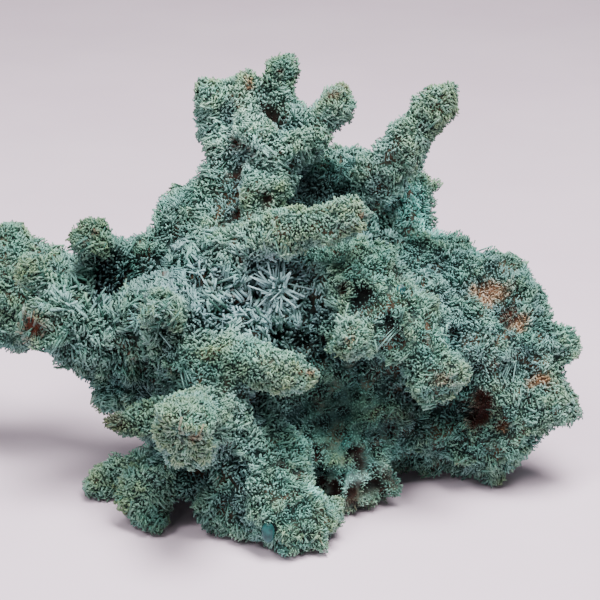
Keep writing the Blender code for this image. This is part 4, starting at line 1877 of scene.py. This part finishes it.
@dataclass
class NeedlePiece:
    """Joins some of the needles into one piece."""

    name: str
    field: NeedleField
    chosen: Array

    def build(self) -> Object:
        """Copies the two kinds of needle to every place.

        Returns:
            The piece.
        """
        rng = np.random.default_rng(SEED + len(self.chosen))
        stout = self.field.stout[self.chosen]
        columns = max(1, math.ceil(math.sqrt(len(self.chosen))))
        parts, points, cells = [], 0, 0
        for kind, pick in ((True, self.chosen[stout]), (False, self.chosen[~stout])):
            part = self._copy(NeedleShape(kind), pick, rng)
            part["loops"] += points
            index = np.arange(cells, cells + len(pick))
            corner = np.stack([index % columns, index // columns], axis=1).astype(float)
            part["flat"] = ((corner[:, None, :] + part["flat"][None]) / columns).reshape(-1, 2)
            points += len(part["co"])
            cells += len(pick)
            parts.append(part)
        joined = {name: np.concatenate([part[name] for part in parts]) for name in parts[0]}
        mesh = bpy.data.meshes.new(self.name)
        mesh.vertices.add(len(joined["co"]))
        mesh.vertices.foreach_set("co", (joined["co"] * MM).astype(np.float32).ravel())
        mesh.loops.add(len(joined["loops"]))
        mesh.loops.foreach_set("vertex_index", joined["loops"].astype(np.int32))
        mesh.polygons.add(len(joined["sizes"]))
        starts = np.concatenate([[0], np.cumsum(joined["sizes"])[:-1]])
        mesh.polygons.foreach_set("loop_start", starts.astype(np.int32))
        mesh.update(calc_edges=True)
        layer = mesh.uv_layers.new(name="OFBake")
        layer.data.foreach_set("uv", joined["flat"].astype(np.float32).ravel())
        store_growth(mesh, joined["coat"], joined["marks"])
        return add_object(self.name, mesh)

    def _copy(
        self, shape: NeedleShape, pick: Array, rng: np.random.Generator
    ) -> Fields:
        """Copies one kind of needle to its places.

        Args:
            shape: The needle.
            pick: Which needles are of this kind.
            rng: The source of chance.

        Returns:
            Points, corners, face sizes, the flat cell and the material's values.
        """
        template, faces, flat = shape.build()
        f, per, count = self.field, len(template), len(pick)
        way = f.ways[pick]
        turned = unit(np.cross(way, unit(rng.normal(size=way.shape))))
        third = np.cross(way, turned)
        length, width = f.lengths[pick], f.widths[pick]
        top = template[:, 2] > 0.5
        slant = width * rng.uniform(0.2, 1.0, count) * shape.slant
        cut = slant[:, None] * (top * (0.5 + template[:, 0]))
        levels = length[:, None] * template[None, :, 2] - cut
        across = template[None, :, 0] * width[:, None]
        aside = template[None, :, 1] * width[:, None]
        places = (
            (f.tips[pick] - way * length[:, None])[:, None, :]
            + turned[:, None, :] * across[:, :, None]
            + third[:, None, :] * aside[:, :, None]
            + way[:, None, :] * levels[:, :, None]
        ).reshape(-1, 3)
        places[:, 2] = np.maximum(places[:, 2], 0.0)
        corner = np.concatenate([np.array(face) for face in faces])
        sizes = np.array([len(face) for face in faces])
        depth = np.where(top[None, :], 1.0, f.foot[pick][:, None])
        # the marks: rust, gloom as painted shade, height on the needle, and painted shade
        values = (f.rust[pick], f.gloom[pick], None, f.shade[pick])
        marks = [depth.ravel() if value is None else np.repeat(value, per) for value in values]
        return {
            "co": places,
            "loops": (corner[None, :] + (np.arange(count) * per)[:, None]).ravel(),
            "sizes": np.tile(sizes, count),
            "flat": np.concatenate([np.array(face) for face in flat]),
            "coat": np.repeat(f.coat[pick], per, axis=0),
            "marks": np.stack(marks, axis=1),
        }


# --- beads


@dataclass
class Bead:
    """A smooth drop of blue-green mineral among the needles."""

    name: str
    centre: Point = BEAD_CENTRE
    radii: Point = BEAD_RADII
    facing: Point = (0.18, 1.0, 0.05)
    lumps: float = 0.07

    def build(self) -> Object:
        """Makes an oval bead with a soft uneven outline.

        Returns:
            The bead.
        """
        bm = bmesh.new()
        bmesh.ops.create_uvsphere(bm, u_segments=40, v_segments=24, radius=1.0)
        for vertex in bm.verts:
            shift = Vector((4.0, 2.0, 1.0)) + Vector(self.centre)
            vertex.co *= 1.0 + self.lumps * noise.noise(vertex.co * 1.6 + shift)
        bmesh.ops.scale(bm, verts=bm.verts, vec=tuple(r * MM for r in self.radii))
        turn = Vector((0, 1, 0)).rotation_difference(Vector(self.facing)).to_matrix()
        bmesh.ops.rotate(bm, verts=bm.verts, matrix=turn)
        bmesh.ops.translate(bm, verts=bm.verts, vec=tuple(c * MM for c in self.centre))
        bmesh.ops.recalc_face_normals(bm, faces=bm.faces)
        for face in bm.faces:
            face.smooth = True
        return new_object(self.name, bm)


BEADS: tuple[Bead, ...] = (
    Bead("smooth_bead"),
    Bead("turquoise_bead", (22.2, -9.9, 38.9), (0.75, 0.5, 0.85), (0.2, 0.8, -0.6), 0.5),
)


# --- studio


@dataclass(frozen=True)
class Lamp:
    """A square light that shines at the specimen, in metres and watts."""

    name: str
    place: Point
    size: float
    power: float
    colour: tuple[float, float, float]
    beam: float = math.pi


LAMPS: tuple[Lamp, ...] = (
    Lamp("overhead", (0.08, -0.06, 0.84), 0.40, 3.0, (1.0, 0.99, 1.0), math.radians(75.0)),
    Lamp("front_right", (0.24, -0.34, 0.80), 0.30, 7.3, (1.0, 0.99, 0.99)),
    Lamp("front_left", (-0.36, -0.46, 0.74), 0.28, 4.5, (0.99, 0.99, 1.0)),
    Lamp("low_left", (-0.26, -0.94, 0.26), 0.12, 0.9, (1.0, 0.99, 0.99)),
)


@dataclass
class Studio:
    """The floor, the lights and the camera."""

    floor_size: float = 3.2
    target: Point = (0.00589, -0.00223, 0.0342)
    distance: float = 0.4
    elevation: float = math.radians(20.0)
    half_width: float = 0.05
    world: float = 0.13

    def lay_floor(self, material: Material) -> None:
        """Lays the floor at the specimen's feet.

        Args:
            material: The floor's finish.
        """
        bm = bmesh.new()
        bmesh.ops.create_grid(bm, x_segments=8, y_segments=8, size=self.floor_size / 2)
        floor = new_object("floor", bm)
        floor.data.materials.append(material)

    def _hang(self, lamp: Lamp) -> None:
        """Hangs one lamp, turned to the specimen.

        Args:
            lamp: The lamp.
        """
        data = bpy.data.lights.new(lamp.name, "AREA")
        data.shape, data.size, data.energy = "SQUARE", lamp.size, lamp.power
        data.color, data.spread = lamp.colour, lamp.beam
        light = add_object(lamp.name, data)
        light.location = lamp.place
        way = Vector(self.target) - Vector(lamp.place)
        light.rotation_euler = way.to_track_quat("-Z", "Y").to_euler()

    def light(self) -> None:
        """Gives the air a faint glow and hangs the lamps."""
        world = bpy.data.worlds.new("studio_air")
        world.use_nodes = True
        back = next(n for n in world.node_tree.nodes if n.type == "BACKGROUND")
        back.inputs["Color"].default_value = (0.95, 0.95, 1.0, 1.0)
        back.inputs["Strength"].default_value = self.world
        bpy.context.scene.world = world
        for lamp in LAMPS:
            self._hang(lamp)

    def place_camera(self) -> None:
        """Sets the camera up in front, a little above."""
        data = bpy.data.cameras.new("camera")
        data.sensor_width = 36.0
        data.lens = data.sensor_width / 2 * self.distance / self.half_width
        data.clip_start, data.clip_end = 0.01, 10.0
        camera = add_object("camera", data)
        away = Vector((0.0, -math.cos(self.elevation), math.sin(self.elevation)))
        camera.location = Vector(self.target) + away * self.distance
        camera.rotation_euler = (-away).to_track_quat("-Z", "Y").to_euler()
        bpy.context.scene.camera = camera


# --- assembly


@dataclass
class Specimen:
    """The whole specimen: crust, needles and beads."""

    finishes: Finishes
    growth: GrowthMap = field(default_factory=GrowthMap)
    left_until: float = 2.0
    back_from: float = 4.0
    facing_back: float = 0.55
    facing_down: float = -0.35
    foot_height: float = 9.0

    def _nearest_nodes(self, points: Array) -> Array:
        """Which solid each point belongs to.

        Args:
            points: Points in millimetres.

        Returns:
            For each point the index of its solid in name order.
        """
        verts: list[Vector] = []
        faces: list[tuple[int, ...]] = []
        owner: list[int] = []
        for number, name in enumerate(sorted(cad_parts)):
            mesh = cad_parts[name].data
            start = len(verts)
            verts += [vertex.co / MM for vertex in mesh.vertices]
            faces += [tuple(start + i for i in polygon.vertices) for polygon in mesh.polygons]
            owner += [number] * len(mesh.polygons)
        tree = BVHTree.FromPolygons(verts, faces)
        return np.array([owner[tree.find_nearest(Vector(p))[2]] for p in points.tolist()])

    def _central_sides(self, needles: NeedleField, chosen: Array) -> Fields:
        """Splits the central mass's needles by the side they stand on.

        Args:
            needles: All the needles.
            chosen: Those of the central mass.

        Returns:
            For each side's name, its needles.
        """
        tips, normals = needles.tips[chosen], needles.normals[chosen]
        front = (tips[:, 1] < self.back_from) & (normals[:, 1] < self.facing_back)
        low = (normals[:, 2] < self.facing_down) | (tips[:, 2] < self.foot_height)
        left = tips[:, 0] < self.left_until
        sides = {
            "underside": low & ~front,
            "foot": low & front,
            "front_left": ~low & front & left,
            "front_right": ~low & front & ~left,
            "back_left": ~low & ~front & left,
            "back_right": ~low & ~front & ~left,
        }
        return {name: chosen[side] for name, side in sides.items()}

    def _seat(
        self, piece: Object, material: Material, nodes: Sequence[str]
    ) -> None:
        """Dresses a piece, ties it to the body and reports it.

        Args:
            piece: The piece.
            material: Its finish.
            nodes: The solids that it stands for.
        """
        piece.data.materials.append(material)
        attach(piece, BODY)
        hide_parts(*nodes)
        LOG.info("%s: %d triangles", piece.name, triangle_count(piece.data))

    def build(self) -> None:
        """Builds and seats every piece."""
        skin = Skin(self.growth)
        nodes = sorted(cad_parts)
        crust = Crust(skin).build()
        self._seat(crust, self.finishes.growth("dark_crust", CrustFinish()), nodes)
        needles = NeedleGrowth(skin).grow()
        owners = self._nearest_nodes(needles.tips)
        material = self.finishes.growth("mineral_needles", MineralFinish())
        for number, node in enumerate(nodes):
            chosen = np.flatnonzero(owners == number)
            main = node == MAIN_NODE
            parts = self._central_sides(needles, chosen) if main else {node: chosen}
            for name, part in parts.items():
                piece = NeedlePiece(f"{name}_needles", needles, part).build()
                self._seat(piece, material, [node])
        glass = self.finishes.cloudy("glassy_bead", CloudyFinish())
        for bead in BEADS:
            self._seat(bead.build(), glass, [MAIN_NODE])


def main() -> None:
    """Builds the studio and the specimen."""
    logging.basicConfig(level=logging.INFO, format="%(name)s: %(message)s")
    finishes = Finishes()
    studio = Studio()
    studio.lay_floor(finishes.cloudy("pale_floor", FloorFinish()))
    studio.light()
    studio.place_camera()
    Specimen(finishes).build()
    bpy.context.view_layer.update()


if __name__ == "__main__":
    main()
